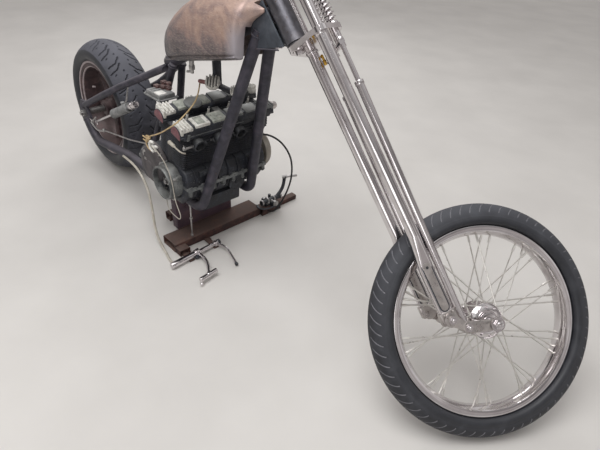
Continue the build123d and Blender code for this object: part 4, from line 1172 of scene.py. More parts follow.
# %% Spark plugs
bm = bmesh.new()
for y in CYLINDER_Y:
    root = Vector((0, y + 8, 246))
    bolt(bm, root, UP, 17, 9)
    rod(bm, root + UP * 30, root + UP * 37, 2.6, sides=12, edge=0.5)
show(bm, "spark_plug_bodies", zinc, "frame", (), CYLINDERS)

bm = bmesh.new()
for y in CYLINDER_Y:
    root = Vector((0, y + 8, 246))
    rod(bm, root + UP * 10, root + UP * 30, 5.2, 4.2, sides=16, edge=0.6)
show(bm, "spark_plug_ceramics", white_ceramic, "frame", (), CYLINDERS)

# %% [markdown]
# ## Cam boxes
# Two long covers hide the camshafts. Each end has a ribbed cap, and flat machined pads run
# along the top between them. Damp has turned the caps and pads white with oxide at the right
# end and blotched them less and less towards the left; the flanks are still grimy paint.

# %% Cam boxes
CAM_X = 56
CAM_HALF = 212
bm = bmesh.new()
cover_side = [(-33, 248), (-33, 263), (-27, 274), (-18, 281), (18, 281), (27, 274), (33, 263), (33, 248)]
for x in (-CAM_X, CAM_X):
    middle = [(x + px, pz) for px, pz in cover_side]
    plate(bm, middle, -CAM_HALF + 14, CAM_HALF - 14, edge=1.5)
    plate(bm, [(x - 34, 248), (x - 34, 254), (x + 34, 254), (x + 34, 248)], -CAM_HALF + 2, CAM_HALF - 2,
          edge=1.2)
    for side in (-1, 1):
        plate(bm, arc((x - 31, 252), (x, 279), (x + 31, 252), 15), side * (CAM_HALF - 16),
              side * (CAM_HALF - 1), edge=1.5)
    for y in (-150, -92, -20, 24, 92, 150):
        for side in (-1, 1):
            bolt(bm, (x + side * 27.5, y, 254), UP, 9, 6)
show(bm, "cam_box_castings", engine_paint, "frame", ["cam_covers"], CYLINDERS)

bm = bmesh.new()
for x in (-CAM_X, CAM_X):
    box(bm, (x - 29, -CAM_HALF + 4, 258), (x + 29, -158, 281.5), 3)
    for rib in range(4):
        y = -CAM_HALF + 8 + rib * 12.5
        box(bm, (x - 28, y - 3.2, 279), (x + 28, y + 3.2, 287.5), 1.4)
box(bm, (CAM_X - 25, -148, 268), (CAM_X + 27, -86, 285.5), 3)
show(bm, "cam_box_caps", oxide_crust, "frame", (), CYLINDERS)

bm = bmesh.new()
box(bm, (-CAM_X - 24, -146, 270), (-CAM_X + 26, -96, 285.5), 3)
for rib in range(3):
    y = -84 + rib * 11
    box(bm, (-CAM_X - 28, y - 2.6, 266), (-CAM_X + 28, y + 2.6, 287.5), 1.2)
box(bm, (-CAM_X - 26, -48, 266), (-CAM_X + 26, -8, 282.5), 2.5)
box(bm, (CAM_X - 26, -74, 268), (CAM_X + 26, -14, 284.5), 3)
box(bm, (CAM_X - 15, -62, 283), (CAM_X + 15, -28, 287), 1.5)
box(bm, (CAM_X - 20, -136, 284), (CAM_X + 20, -104, 287.5), 1.5)
show(bm, "cam_box_stained_pads", stained_alloy, "frame", (), CYLINDERS)

bm = bmesh.new()
for x in (-CAM_X, CAM_X):
    box(bm, (x - 26, 2, 266), (x + 26, 62, 284), 3)
    box(bm, (x - 24, 74, 266), (x + 24, 134, 283), 3)
    box(bm, (x - 28, 146, 262), (x + 28, CAM_HALF - 4, 283), 3)
    for rib in range(5):
        y = 154 + rib * 12
        box(bm, (x - 26, y - 3, 281), (x + 26, y + 3, 286), 1.2)
box(bm, (-20, -14, 247), (20, 16, 262), 3)
box(bm, (88.4, -186, 249.5), (91, 60, 252.5), 0.8)
box(bm, (88.4, -186, 236), (93, -174, 262), 1.5)
show(bm, "cam_box_pads", cast_alloy, "frame", (), CYLINDERS)

bm = bmesh.new()
for x in (-CAM_X, CAM_X):
    for side in (-1, 1):
        plate(bm, arc((x - 28, 240), (x - 4, 277), (x + 27, 240), 15), side * (CAM_HALF - 1.6),
              side * (CAM_HALF - 0.1), edge=0.5)
show(bm, "cam_box_end_plugs", red_plug, "frame", (), CYLINDERS)

# %% [markdown]
# ## Covers on the right
# The ignition end of the crankshaft has lost its lid: a dull turned rim with a dark hole, and
# inside it the advance plate with its ring of screws. Behind it is the big clutch cover,
# domed, with a flange of small screws.

# %% Ignition and clutch covers
COVER_OUT = Vector((0, 0.190, 0))
IGNITION = Matrix.Translation(CRANK - COVER_OUT)
bm = bmesh.new()
turned(bm, [(2, 20), (2, 68), (-30, 68), (-34, 66), (-38, 67.5), (-48, 67.5), (-51, 66), (-51.5, 63),
            (-51, 60.5), (-47, 59.5), (-12, 58), (-10, 20)], steps=96)
for x, z in around(4, 70, radians(30)):
    rod(bm, (x, 1, z), (x, -26, z), 7.5, sides=20, edge=1.0)
show(bm, "ignition_housing", cast_alloy, "frame", ["engine_covers_right"], IGNITION)

bm = bmesh.new()
turned(bm, [(-9, 1), (-9, 57), (-17, 57), (-18, 55), (-18, 44), (-15, 43), (-15, 20), (-24, 19), (-26, 16),
            (-26, 1)], steps=64)
box(bm, (16, -30, 20), (40, -17, 40), 2)
box(bm, (-42, -30, -36), (-18, -17, -18), 2)
show(bm, "ignition_plate", engine_paint, "frame", (), IGNITION)

bm = bmesh.new()
for count, radius, first, out, across, height in ((8, 49, 10, -17.5, 8.5, 5), (3, 30, 60, -16, 8, 5),
                                                  (1, 0, 0, -26, 17, 9), (4, 70, 30, -26, 9, 4)):
    for x, z in around(count, radius, radians(first)):
        bolt(bm, (x, out, z), (0, -1, 0), across, height)
show(bm, "ignition_screws", zinc, "frame", (), IGNITION)

CLUTCH = Matrix.Translation((0.063, -0.190, 0.376))
bm = bmesh.new()
turned(bm, [(2, 10), (2, 91.5), (-8, 91.5), (-10, 90), (-12, 82), (-24, 78), (-30, 72), (-33, 62),
            (-34.5, 44), (-33, 41), (-33, 20), (-35, 17), (-35, 1)], steps=96)
CLUTCH_SCREWS = around(10, 84, 0.2)
for x, z in CLUTCH_SCREWS:
    rod(bm, (x, 1, z), (x, -12, z), 8, sides=18, edge=1.0)
show(bm, "clutch_cover", dusty_cover_paint, "frame", (), CLUTCH)

bm = bmesh.new()
for x, z in CLUTCH_SCREWS:
    bolt(bm, (x, -12, z), (0, -1, 0), 9, 5)
plate(bm, arc((-30, 20), (-46, 44), (-22, 56), 12) + arc((-24, 48), (-38, 42), (-24, 24), 12), -34, -28,
      edge=0.8)
box(bm, (-36, -35, 14), (-22, -29, 26), 1.2)
bolt(bm, (-29, -33, 20), (0, -1, 0), 8, 0.5, washer=False)
show(bm, "clutch_cover_screws", zinc, "frame", (), CLUTCH)

# %% [markdown]
# ## Alternator cover
# On the left, the end of the crankshaft drives the alternator. A low round flange with screws
# in bosses carries a dusty dome that sits further forward and higher, so two shells are turned.

# %% Alternator cover
ALTERNATOR = Matrix.Translation(CRANK + COVER_OUT)
DOME = Matrix.Translation((14, 0, 24))
bm = bmesh.new()
turned(bm, [(-2, 10), (-2, 83), (9, 83), (11.5, 81), (11.5, 10)], steps=96)
turned(bm, [(9, 10), (9, 83), (24, 83), (30, 82), (38, 78), (45, 70), (50, 57), (54, 36), (55.2, 14),
            (55.4, 1)], place=DOME, steps=96)
ALTERNATOR_SCREWS = around(8, 76.5, 0.3)
for x, z in ALTERNATOR_SCREWS:
    rod(bm, (x, -1, z), (x, 13, z), 7, sides=18, edge=1.0)
show(bm, "alternator_dome", dusty_alloy, "frame", ["alternator_cover"], ALTERNATOR)

bm = bmesh.new()
for x, z in ALTERNATOR_SCREWS:
    bolt(bm, (x, 13, z), (0, 1, 0), 8.5, 5)
show(bm, "alternator_screws", zinc, "frame", (), ALTERNATOR)

# %% [markdown]
# ## Rear wheel
# A fat radial tyre on a cast wheel with five flat spokes. Each side of the tread repeats a
# pair of kinked grooves that run out to the shoulder, and small wear marks. Here the mesh is
# fine enough to press in whatever lies near the grooves' lines.

# %% Rear tyre
REAR_R = 325.0
REAR_STEPS = 680
REPEATS = 20
REPEAT_LENGTH = 2 * pi * REAR_R / REPEATS
GROOVE_HALF = 3.2
GROOVE_DEPTH = 5
GROOVE_ABOVE = 288
REAR_TREAD_ABOVE = 280
# Grooves of one repeat on one side: a long one with a kink, a short branch, and a wear mark
GROOVES = [(Vector(a), Vector(b)) for a, b in
           (((4, 16), (34, 40)), ((34, 40), (40, 74)), ((40, 26), (66, 44)), ((66, 44), (78, 78)),
            ((80, 22), (82, 23)), ((90, 60), (92, 62)))]


def near(spot, start, end):
    """How far a point is from a line between two points."""
    run = end - start
    share = min(1.0, max(0.0, (spot - start).dot(run) / run.length_squared))
    return (spot - start - run * share).length


pressed = set()
bm = bmesh.new()
turned(bm, tyre_section(95.0, REAR_R, 286, 262, (70, 233), (68, 217), 65, 9), steps=REAR_STEPS)
for vert in bm.verts:
    x, across, z = vert.co
    out = hypot(x, z)
    cell = (atan2(x, z) / (2 * pi) * REPEATS + (0.5 if across < 0 else 0)) % 1 * REPEAT_LENGTH
    spot = Vector((cell, abs(across)))
    repeats = [spot + Vector((shift, 0)) for shift in (-REPEAT_LENGTH, 0, REPEAT_LENGTH)]
    if out > GROOVE_ABOVE and any(near(point, start, end) < GROOVE_HALF
                                  for start, end in GROOVES for point in repeats):
        vert.co = Vector((x * (out - GROOVE_DEPTH) / out, across, z * (out - GROOVE_DEPTH) / out))
        pressed.add(vert)
for face in bm.faces:
    if all(v in pressed for v in face.verts):
        face.material_index = GROOVE_FACE
    elif all(hypot(v.co.x, v.co.z) > REAR_TREAD_ABOVE for v in face.verts):
        face.material_index = TREAD_FACE
show(bm, "rear_tyre_tread", (wall_rubber, tread_rubber, groove_rubber), "rear_wheel",
     ["rear_tyre"], REAR_WHEEL, 44)

# %% [markdown]
# The wheel is one casting: a rim, five spokes and a hub. Each spoke is a waisted plate with a
# raised flat face. The rim's lips, where the paint has worn pale, are turned as a second piece,
# which also holds a small pale plug beside the hub.

# %% Cast rear wheel
REAR_SPOKES = 5
SPOKE_BODY = [(38, -27), (110, -19), (160, -22), (184, -34), (184, 34), (160, 22), (110, 19), (38, 27)]
SPOKE_FACE = [(48, -16), (110, -11), (166, -13), (166, 13), (110, 11), (48, 16)]
bm = bmesh.new()
rim_lip = [(78, 228.5), (74, 230), (70.5, 229), (70, 216)]
rim_well = [(78, 212), (73, 206), (50, 198.5), (22, 187), (0, 186)]
rim_loop = [(-a, o) for a, o in rim_lip] + rim_lip[::-1] + rim_well + [(-a, o) for a, o in rim_well[-2::-1]]
turned(bm, rim_loop, steps=144)
turned(bm, [(-62, 11), (-62, 33), (-58, 38), (-40, 38), (-34, 44), (34, 44), (40, 38), (58, 38), (62, 33),
            (62, 11)], steps=64)
for spoke in range(REAR_SPOKES):
    turn = Matrix.Rotation(2 * pi * spoke / REAR_SPOKES + pi / 2, 4, "Y")
    plate(bm, SPOKE_BODY, -13, 13, place=turn, edge=3)
    plate(bm, SPOKE_FACE, -15, 15, place=turn, edge=1.5)
show(bm, "rear_cast_wheel", wheel_paint, "rear_wheel", ["rear_rim"], REAR_WHEEL)

bm = bmesh.new()
for side in (-1, 1):
    lip = arc((side * 75, 236), (side * 81, 230), (side * 75, 224), 9)
    turned(bm, lip + [(side * 72, 224), (side * 72, 236)], steps=144)
    step = arc((side * 71, 214), (side * 75, 209), (side * 71, 204), 9)
    turned(bm, step + [(side * 68, 204), (side * 68, 214)], steps=144)
rod(bm, (-77, -56, 86), (-80, -70, 90), 5, sides=16, edge=1.2)
show(bm, "rear_rim_worn_lips", worn_lip, "rear_wheel", (), REAR_WHEEL)

# %% [markdown]
# ## Work stand
# The bike rests on a stand welded up from rusty box section: a wide beam across under the
# engine with a long left arm, a second beam behind, a spine of three tubes between them, and
# flat toes in front. Square tube is a rounded outline pushed along its length, with each end
# face inset by the wall and pushed in, so the tube reads as hollow. The riser that carries the
# frame's lower rails is a folded and painted box.

# %% Square tube
ACROSS = Matrix.Rotation(-pi / 2, 4, "Z")
HOLLOW = 26


def square_tube(bm, width, height, centre, low, high, place=HERE, wall=3.0):
    """A length of square tube along Y whose section is centred on (ahead, up)."""
    outline = rounded(width, height, 5, centre, 4)
    near_end = bm.faces.new([bm.verts.new(place @ Vector((x, low, z))) for x, z in outline])
    grown = bmesh.ops.extrude_face_region(bm, geom=[near_end])["geom"]
    run = place.to_3x3() @ Vector((0, 1, 0))
    moved = [v for v in grown if isinstance(v, bmesh.types.BMVert)]
    bmesh.ops.translate(bm, vec=run * (high - low), verts=moved)
    far_end = next(f for f in grown if isinstance(f, bmesh.types.BMFace))
    for end, inward in ((near_end, run), (far_end, -run)):
        bmesh.ops.inset_individual(bm, faces=[end], thickness=wall, use_even_offset=True)
        sunk = bmesh.ops.extrude_discrete_faces(bm, faces=[end])["faces"]
        bmesh.ops.translate(bm, vec=inward * HOLLOW, verts=sunk[0].verts)


def weld(bm, start, end, size=3.0, pitch=4.5):
    """A run of weld ripples from start to end."""
    start, end = Vector(start), Vector(end)
    count = max(2, round((end - start).length / pitch))
    for i in range(count + 1):
        bmesh.ops.create_uvsphere(bm, u_segments=8, v_segments=5, radius=size,
                                  matrix=Matrix.Translation(start.lerp(end, i / count)))


# %% Stand
bm = bmesh.new()
square_tube(bm, 95, 40, (127.5, 20), -215, 250)
square_tube(bm, 52, 40, (166, 20), 250.5, 362)
square_tube(bm, 35, 25, (157.5, 12.5), 362.5, 480, wall=2.5)
square_tube(bm, 40, 40, (-60, 20), -110, 110)
square_tube(bm, 50, 30, (190, 15), 175.5, 213, place=ACROSS)
for y in (-80, 0, 80):
    square_tube(bm, 40, 38, (y, 19), -39.5, 79.5, place=ACROSS)
for y, reach in ((-190, 268), (-60, 256)):
    box(bm, (120, y - 12, 0.3), (reach, y + 12, 6), 1.2)
for y in (-120, 120):
    box(bm, (48, min(y, y * 1.18), 158), (84, max(y, y * 1.18), 204), 2.5)
show(bm, "stand_beams", rusty_steel, "frame", ["work_stand"])

bm = bmesh.new()
box(bm, (46, -144, 40), (86, 144, 160), 3.5)
for y in (-121, 121):
    box(bm, (46, y - 23, 156), (86, y + 23, 184), 2.5)
    plate(bm, [(46, 184), (46, 209), (50, 209.5), (82, 209.5), (86, 209), (86, 184)], y - 23, y + 23,
          edge=2.0)
for y in (-96, 96):
    bolt(bm, (86, y, 142), (1, 0, 0), 13, 6)
show(bm, "stand_riser", maroon_paint, "frame")

bm = bmesh.new()
for y in (-100, -60, -20, 20, 60, 100):
    weld(bm, (79.5, y - 16, 38.5), (79.5, y + 16, 38.5), 2.4)
weld(bm, (141, 250.3, 39), (172, 250.3, 39))
weld(bm, (143, 362.3, 25.5), (172, 362.3, 25.5))
weld(bm, (87, -140, 41.5), (87, 140, 41.5), 3.2, 5.5)
weld(bm, (176, -214, 29.5), (176, -167, 29.5), 2.6)
for y in (-202, -178, -72, -48):
    weld(bm, (176, y, 6.5), (194, y, 6.5), 2.2)
show(bm, "stand_welds", rusty_steel, "frame")

# %% [markdown]
# ## Chain and sprockets
# The chain is placed link by link round its pitch line: two arcs and two straight runs. A
# narrow link follows a wide one, and every joint has its roller and its pin. The rear
# sprocket carries lightening holes and a ring of bolts; its teeth end just under the rollers,
# because it turns with the wheel while the chain belongs to the frame.

# %% Pitch line
CHAIN_Y = 113.0
REAR_SPROCKET = Vector((-700, 0, 325))
FRONT_SPROCKET = Vector((CRANK.x / MM - 210, 0, CRANK.z / MM - 15))
REAR_PITCH_R = 111.3
FRONT_PITCH_R = 43.2
SPROCKETS = ((REAR_SPROCKET, REAR_PITCH_R), (FRONT_SPROCKET, FRONT_PITCH_R))
LINKS = 114
between = FRONT_SPROCKET - REAR_SPROCKET
rise = atan2(between.z, between.x)
flare = asin((REAR_PITCH_R - FRONT_PITCH_R) / between.length)
straight = between.length * cos(flare)
front_wrap = FRONT_PITCH_R * (pi - 2 * flare)
rear_wrap = REAR_PITCH_R * (pi + 2 * flare)
loop_length = 2 * straight + front_wrap + rear_wrap


def on_circle(centre, radius, turn):
    """A point of a circle in the bike's side view; turn is measured from straight ahead, upward."""
    return centre + Vector((radius * cos(turn), 0, radius * sin(turn)))


def chain_point(way):
    """The point of the pitch line that lies way along it, from the top of the rear sprocket forward."""
    way %= loop_length
    top = rise + pi / 2 - flare
    bottom = rise - pi / 2 + flare
    if way < straight:
        start, end = (on_circle(centre, radius, top) for centre, radius in SPROCKETS)
        return start.lerp(end, way / straight)
    way -= straight
    if way < front_wrap:
        return on_circle(FRONT_SPROCKET, FRONT_PITCH_R, top - way / FRONT_PITCH_R)
    way -= front_wrap
    if way < straight:
        start, end = (on_circle(centre, radius, bottom) for centre, radius in reversed(SPROCKETS))
        return start.lerp(end, way / straight)
    return on_circle(REAR_SPROCKET, REAR_PITCH_R, bottom - (way - straight) / REAR_PITCH_R)


# %% Links
pins = [chain_point(loop_length * i / LINKS) for i in range(LINKS)]
bm = bmesh.new()
for i, pin in enumerate(pins):
    after = pins[(i + 1) % LINKS]
    offset = 4.3 if i % 2 else 6.2
    for side in (-1, 1):
        plate(bm, link_outline((pin.x, pin.z), (after.x, after.z), 6.6, 6.6, 5), CHAIN_Y + side * offset,
              CHAIN_Y + side * (offset + 1.5))
    rod(bm, (pin.x, CHAIN_Y - 4.4, pin.z), (pin.x, CHAIN_Y + 4.4, pin.z), 5.0, sides=10)
    rod(bm, (pin.x, CHAIN_Y - 8.6, pin.z), (pin.x, CHAIN_Y + 8.6, pin.z), 2.3, sides=8)
show(bm, "drive_chain_links", oily_steel, "frame", ["drive_chain"])


# %% Sprockets
def toothed(teeth, root, tip):
    """The outline of a sprocket."""
    points = []
    for tooth in range(teeth):
        for part, out in ((-0.30, root), (-0.12, tip - 1), (0.0, tip), (0.12, tip - 1), (0.30, root),
                          (0.5, root - 1)):
            turn = 2 * pi * (tooth + part) / teeth
            points.append((out * cos(turn), out * sin(turn)))
    return points


bm = bmesh.new()
plate(bm, toothed(44, 97.2, 101.6), CHAIN_Y - 3, CHAIN_Y + 3, edge=0.4, segments=1)
cutter = bmesh.new()
round_holes(cutter, 8, 78, 11, CHAIN_Y - 6, CHAIN_Y + 6, sides=24)
round_holes(cutter, 1, 0, 24, CHAIN_Y - 6, CHAIN_Y + 6, sides=40)
bm = carve(bm, cutter)
turned(bm, [(62.5, 24), (62.5, 56), (66, 58), (CHAIN_Y - 3, 58), (CHAIN_Y - 3, 24)], steps=64)
for x, z in around(6, 48, pi / 6):
    bolt(bm, (x, CHAIN_Y + 3, z), (0, 1, 0), 13, 6)
show(bm, "rear_sprocket_toothed", oily_steel, "rear_wheel", ["rear_sprocket"], REAR_WHEEL)

bm = bmesh.new()
plate(bm, toothed(17, 37.4, 46.0), CHAIN_Y - 2.8, CHAIN_Y + 2.8, edge=0.4, segments=1)
turned(bm, [(CHAIN_Y - 4.8, 1), (CHAIN_Y - 4.8, 30), (CHAIN_Y + 4.8, 30), (CHAIN_Y + 4.8, 1)], steps=48)
bolt(bm, (0, CHAIN_Y + 4.8, 0), (0, 1, 0), 30, 8)
show(bm, "front_sprocket_toothed", oily_steel, "frame", ["front_sprocket"],
     Matrix.Translation(FRONT_SPROCKET * MM))

# %% [markdown]
# ## Rear brake cylinder
# A cast cylinder lies along the right-hand rails: a bright rod with a clevis at the rear, a
# banded grey body and a machined tail. A bent lever with a ball hangs at the clevis, and a
# strut and a long thin rod tie the parts to the frame.

# %% Brake cylinder
clevis = Vector((-600, -160, 308))
tail = Vector((-240, -104, 503))
run = (tail - clevis).normalized()
bm = bmesh.new()
rod(bm, clevis, clevis + run * 212, 6, sides=24)
rod(bm, clevis + run * 188, clevis + run * 207, 10, sides=28, edge=1.2)
rod(bm, clevis + run * 8, clevis + run * 20, 8.5, sides=6, edge=0.8)
rod(bm, clevis + run * 352, tail, 15, sides=36, edge=2.0)
rod(bm, clevis + run * 376, clevis + run * 386, 17, sides=36, edge=1.2)
rod(bm, (-655, -156, 306), (-606, -159, 308), 7, sides=24, edge=1.0)
for y in (-171, -153):
    box(bm, (-616, y, 296), (-588, y + 5, 320), 2)
rod(bm, (-602, -174, 308), (-602, -144, 308), 4.5, sides=20, edge=0.6)
rod(bm, (-602, -176, 308), (-602, -172, 308), 7.5, sides=20, edge=0.8)
show(bm, "brake_cylinder_rod", chrome, "frame", ["brake_cylinder"])

bm = bmesh.new()
rod(bm, clevis + run * 207, clevis + run * 350, 20.5, sides=48, edge=2)
for way in (208, 220, 330, 344):
    rod(bm, clevis + run * way, clevis + run * (way + 6), 22, sides=48, edge=1.2)
for way in (244, 300):
    rod(bm, clevis + run * way, clevis + run * (way + 4), 21.4, sides=48, edge=0.8)
port = clevis + run * 300
rod(bm, port + UP * 16, port + UP * 32, 8, 7, sides=20, edge=1.0)
rod(bm, port + UP * 30, port + UP * 36, 9.5, sides=6, edge=0.6)
show(bm, "brake_cylinder_body", pale_cast_alloy, "frame")

bm = bmesh.new()
tube(bm, [clevis + Vector((0, -16, 6)), (-560, -176, 296), (-522, -176, 296), (-484, -168, 308)], 4.5, 22)
bmesh.ops.create_uvsphere(bm, u_segments=16, v_segments=10, radius=9,
                          matrix=Matrix.Translation((-484, -168, 310)))
rod(bm, clevis + Vector((0, -16, 4)), (-556, -166, 352), 3.6, sides=12, edge=0.8)
tube(bm, [clevis + run * 290 + Vector((0, 6, 18)), (-300, -118, 500), (-304, -98, 566)], 3.4, 10)
tube(bm, [(-484, -168, 310), (-430, -162, 318), (-240, -156, 352), (-84, -150, 390)], 3.2, 12)
show(bm, "brake_linkage", zinc, "frame")

# %% [markdown]
# ## Electrics
# A flat tray behind the cam covers carries a shallow box with a blank pale plate on it, a few
# brown connectors and their short wires. The regulator's two pots, with flat fins on their
# faces, sit on a bracket below the backbone.

# %% Electrics tray
bm = bmesh.new()
box(bm, (-75, -140, 607), (40, -58, 612), 1.2)
box(bm, (-70, -134, 611), (32, -64, 629), 4)
for x in (-58, -38):
    box(bm, (x, -128, 627), (x + 10, -70, 631.5), 1.5)
for x, y in ((-68, -137), (-68, -61), (36, -137), (36, -61)):
    bolt(bm, (x, y, 612), UP, 8, 3)
box(bm, (-95, -90, 601), (-55, -36, 607), 1.5)
show(bm, "electrics_tray", pale_cast_alloy, "frame", ["electrics_box"])

bm = bmesh.new()
box(bm, (-12, -131, 628), (26, -96, 632.2), 1.0)
show(bm, "electrics_blank_plate", blank_label, "frame")

bm = bmesh.new()
for x, y, z in ((-68, -92, 630), (-44, -80, 631), (-22, -68, 630), (-60, -64, 642), (-38, -56, 641)):
    box(bm, (x, y - 10, z - 3), (x + 21, y + 10, z + 11), 2.5)
    box(bm, (x + 19, y - 7, z - 1), (x + 25, y + 7, z + 8), 1.5)
for x, y, z in ((-48, -88, 638), (-24, -76, 639)):
    for shift in (-4, 4):
        tube(bm, [(x, y + shift, z), (x + 12, y + shift + 6, z + 7), (x + 26, y + shift + 14, z - 4)], 2.2,
             9, sides=8)
show(bm, "electrics_connectors", brown_plastic, "frame")

# %% Regulator
POT_LOOKS = Vector((0.38, -0.36, 0.85)).normalized()
POTS = [(looking((x, y, 712), POT_LOOKS), radius) for x, y, radius in ((232, -22, 27.5), (350, -10, 17.6))]
bm = bmesh.new()
for place, radius in POTS:
    turned(bm, [(0, 1), (0, radius - 2), (2, radius), (11, radius), (13, radius - 2), (13, 1)], place=place,
           steps=48)
    for fin in range(-2, 3):
        off = fin * radius / 2.7
        reach = sqrt(radius**2 - off**2) - 1.0
        box(bm, (off - radius * 0.11, 10, -reach), (off + radius * 0.11, 23.5, reach), 1.2, place)
show(bm, "regulator_pots", oxide_crust, "frame", ["regulator"])

bm = bmesh.new()
for place, radius in POTS:
    turned(bm, [(-4, 1), (-4, radius - 3), (13.6, radius - 3), (13.6, 1)], place=place, steps=40)
box(bm, (222, -16, 700), (364, 8, 712), 2)
box(bm, (222, -16, 700), (236, 16, 834), 3)
for z in (760, 800):
    bolt(bm, (222, 0, z), (-1, 0, 0), 10, 4)
show(bm, "regulator_bracket", engine_paint, "frame")

bm = bmesh.new()
rod(bm, (150, -24, 700), (222, -15, 708), 7.8, sides=28, edge=1.5)
rod(bm, (146, -24.5, 699.6), (156, -23, 700.7), 6.5, sides=28, edge=1.0)
show(bm, "regulator_sleeve", faded_pink_sleeve, "frame")

# %% [markdown]
# ## Right foot control
# The chromed control lies on the toes of the stand: a cross bar, thick at its outer end and
# stepped down inboard with a dark cap, a clamp with the curved lever of a peg, and a second
# lever with a dark end.

# %% Right foot control
outer = Vector((260, -285, 19))
inner = Vector((244, -38, 19))
line = (inner - outer).normalized()
bm = bmesh.new()
rod(bm, outer, outer + line * 138, 13, sides=40, edge=1.8)
rod(bm, outer + line * 137, outer + line * 143, 13, 9.5, sides=40)
rod(bm, outer + line * 142, inner - line * 14, 9.5, sides=36, edge=0.6)
rod(bm, outer + line * 118, outer + line * 136, 15.5, sides=40, edge=2.0)
box(bm, (246, -166, 25), (260, -148, 39), 2.5)
tube(bm, [(252, -155, 22), (330, -158, 28), (404, -200, 24)], 7, 60, sides=20, flat=0.75)
rod(bm, (411, -246, 24), (400, -162, 24), 10, sides=36, edge=1.6)
rod(bm, (404, -194, 24), (403, -208, 24), 12, sides=36, edge=1.2)
tube(bm, [(246, -60, 20), (300, -42, 24), (404, -68, 14)], 6, 60, sides=20)
rod(bm, (246, -52, 19), (247, -68, 19), 13.5, sides=36, edge=1.5)
bmesh.ops.create_uvsphere(bm, u_segments=20, v_segments=12, radius=7,
                          matrix=Matrix.Translation((420, -246, 9)))
rod(bm, (412, -244, 20), (419, -246, 11), 2.5, sides=12)
show(bm, "right_control_chrome", chrome, "frame", ["foot_control_right"])

bm = bmesh.new()
rod(bm, inner - line * 15, inner, 12.4, sides=36, edge=1.6)
rod(bm, (404, -68, 14), (414, -70.5, 12.4), 7.4, sides=24, edge=1.5)
box(bm, (252, -176, 6.5), (276, -152, 14), 2)
bolt(bm, (268, -164, 13), UP, 10, 5)
show(bm, "right_control_black_parts", engine_paint, "frame")

# %% [markdown]
# ## Left foot control
# On the stand's long arm: an old clamp block with a pivot barrel, the clutch lever that stands
# up from it and carries a thin pin, and a bent flat bar.

# %% Left foot control
bm = bmesh.new()
box(bm, (150, 272, 40), (186, 300, 76), 5)
box(bm, (156, 296, 40), (204, 318, 66), 6)
rod(bm, (178, 250, 66), (178, 372, 66), 11.5, sides=36, edge=1.5)
tube(bm, [(178, 340, 66), (178, 385, 100), (172, 400, 160)], 9, 30, sides=20, flat=0.7)
rod(bm, (160, 316, 41), (160, 316, 84), 7, sides=24, edge=1.0)
tube(bm, [(150, 250, 42), (178, 236, 43), (204, 262, 42), (206, 330, 41)], 6, 24, sides=16, flat=0.6)
show(bm, "left_control_cluster", engine_paint, "frame", ["foot_control_left"])

bm = bmesh.new()
for y in (252, 286, 322, 362):
    rod(bm, (178, y, 66), (178, y + 8, 66), 14.5, sides=36, edge=1.5)
rod(bm, (186, 318, 52), (208, 318, 52), 15, sides=36, edge=2)
rod(bm, (206, 318, 52), (212, 318, 52), 9, sides=30, edge=1.5)
bolt(bm, (186, 286, 62), (1, 0, 0), 12, 5, domed=True)
bolt(bm, (168, 286, 76), UP, 12, 5)
bolt(bm, (190, 306, 66), UP, 10, 4)
rod(bm, (168, 392, 156), (202, 452, 160), 5.5, sides=20, edge=1.2)
rod(bm, (166, 389, 156), (178, 410, 157), 8.5, sides=24, edge=1.2)
show(bm, "left_control_bright_parts", zinc, "frame")

# %% [markdown]
# ## Grips
# Plain black rubber sleeves with raised rings, turned about the handlebar's ends.

# %% Grips
bm = bmesh.new()
for side in (-1, 1):
    start = Vector((-62, side * 285.5, 567.9))
    end = Vector((-178, side * 337.7, 580.7))
    lie = (end - start).normalized()
    rod(bm, start, end, 15.6, sides=40, edge=2.0)
    for rib in range(13):
        rod(bm, start + lie * (10 + 8.6 * rib), start + lie * (15 + 8.6 * rib), 16.9, sides=40, edge=1.2)
    rod(bm, start, start + lie * 5, 17, sides=40, edge=1.5)
show(bm, "handlebar_grips", black_rubber, "fork", ["grips"], FORK)

# %% [markdown]
# ## Small parts on the engine
# The loose wire of the unfinished bike is held at both ends: it runs down in front of the
# engine and back up below the ignition housing. Beside it: the connectors and blank clamps
# above the clutch cover, thin rods across the head and down to the stand, and round caps.

# %% Wires and clamps
LOOSE_WIRE = [(86, -226, 472), (120, -236, 486), (186, -238, 480), (230, -236, 440), (252, -235, 384),
              (257, -235, 314), (278, -235, 278), (290, -235, 256), (276, -235, 234), (244, -235, 236),
              (198, -236, 243), (150, -214, 262)]
bm = bmesh.new()
tube(bm, LOOSE_WIRE, 1.6, 48, sides=10)
rod(bm, (229, -218, 540), (262, -218, 535), 7.5, 6, sides=20, edge=1.5)
tube(bm, [(258, -218, 536), (284, -220, 532), (300, -212, 522), (296, -196, 514)], 3.0, 14, sides=10)
show(bm, "pale_loose_wires", hose_plastic, "frame")

bm = bmesh.new()
for i, (x, y, z) in enumerate(((58, -222, 480), (74, -226, 492), (50, -214, 494), (88, -226, 500))):
    lean = Vector((0.8, -0.2, 0.3 + 0.3 * (i % 2))).normalized()
    rod(bm, Vector((x, y, z)), Vector((x, y, z)) + lean * 24, 5.2, sides=12, edge=1.2)
for z in (470, 484):
    tube(bm, [(60, -214, z), (30, -222, z + 8), (12, -206, z - 6), (24, -190, z - 26)], 2.4, 12, sides=8)
show(bm, "beige_connectors", wire_plastic, "frame")

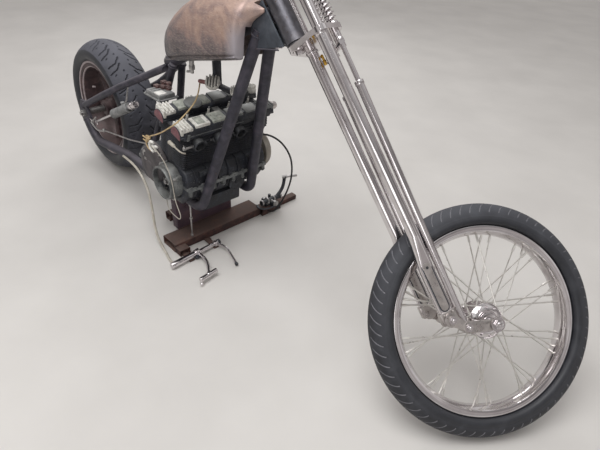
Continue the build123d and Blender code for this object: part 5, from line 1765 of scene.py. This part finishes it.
bm = bmesh.new()
tube(bm, [(134, -232, 502), (116, -233, 505), (102, -233, 488), (108, -233, 470), (128, -232, 464)], 5.0,
     11, sides=14)
tube(bm, [(160, -232, 494), (146, -233, 496), (138, -233, 484), (150, -232, 474)], 4.2, 9, sides=14)
rod(bm, (110, -230, 486), (96, -229, 480), 4.0, sides=16, edge=1.0)
rod(bm, (140, -232, 485), (122, -232, 490), 3.6, sides=16, edge=1.0)
show(bm, "blank_white_clamps", blank_label, "frame")

bm = bmesh.new()
rod(bm, (297, -201, 533), (297, -152, 532), 4.6, sides=20, edge=1.2)
rod(bm, (297, -203, 533), (297, -194, 533), 7, sides=6, edge=0.8)
rod(bm, (297, -160, 532), (297, -151, 532), 7, sides=6, edge=0.8)
rod(bm, (280, -190, 536), (298, -190, 532), 3.6, sides=12)
rod(bm, (289, -84, 533), (289, -37, 529), 3.4, sides=16, edge=0.8)
rod(bm, (190, -134, 222), (190, -137, 62), 3.2, sides=16, edge=0.6)
for z in (214, 150, 66):
    y = -134 - (222 - z) * 0.02
    rod(bm, (190, y, z), (190, y, z + 9), 6.5, sides=6, edge=0.8)
show(bm, "thin_rods", zinc, "frame")

bm = bmesh.new()
rod(bm, (272, 208, 594), (268, 240, 584), 15, sides=36, edge=2.0)
rod(bm, (268, 238, 585), (266, 248, 582), 9, sides=6, edge=1.0)
rod(bm, (275, 216, 604), (289, 226, 596), 6, sides=24, edge=1.0)
show(bm, "cam_left_bright_cap", satin_alloy, "frame")

bm = bmesh.new()
rod(bm, (182, 186, 628), (186, 186, 646), 21, sides=40, edge=2.0)
for i in range(-2, 3):
    reach = sqrt(19.0**2 - (8.0 * i) ** 2)
    box(bm, (185 - reach, 184 + 8 * i, 643), (187 + reach, 188 + 8 * i, 654), 1.2)
show(bm, "cam_left_white_cap", oxide_crust, "frame")

bm = bmesh.new()
turned(bm, [(0, 1), (0, 33), (3, 34), (7, 31), (9, 24), (10, 1)], steps=48,
       place=looking((188, -84, 641), (0.25, -0.1, 1)))
show(bm, "breather_cap", cast_alloy, "frame")

# %% [markdown]
# ## Frame welds and bolts
# The tubes meet in fish-scale weld beads, left as they were run: round each tube where it ends
# on another, and along the neck plates.

# %% Welds
bm = bmesh.new()
for side in (-1, 1):
    bead(bm, (-231, side * 69, 247), (-195, 50 * side, -482), 15.5, 3.0, 22)
    bead(bm, (-44, side * 21, 703), (-195, 50 * side, -482), 15.5, 3.0, 22)
    bead(bm, (-96, side * 27, 684), (248, -82 * side, -131), 15.5, 3.0, 22)
    bead(bm, (-705, side * 152, 288), (-64, 4 * side, 96), 20.5, 3.2, 26)
    bead(bm, (-718, side * 151.5, 356), (254, -14 * side, 133), 15.5, 3.0, 22)
    bead(bm, (494, side * 26, 938), (-242, 98 * side, -725), 20.5, 3.2, 26)
    weld(bm, (470, side * 37.4, 896), (600, side * 37.4, 922), 2.6)
show(bm, "frame_welds", frame_steel, "frame")
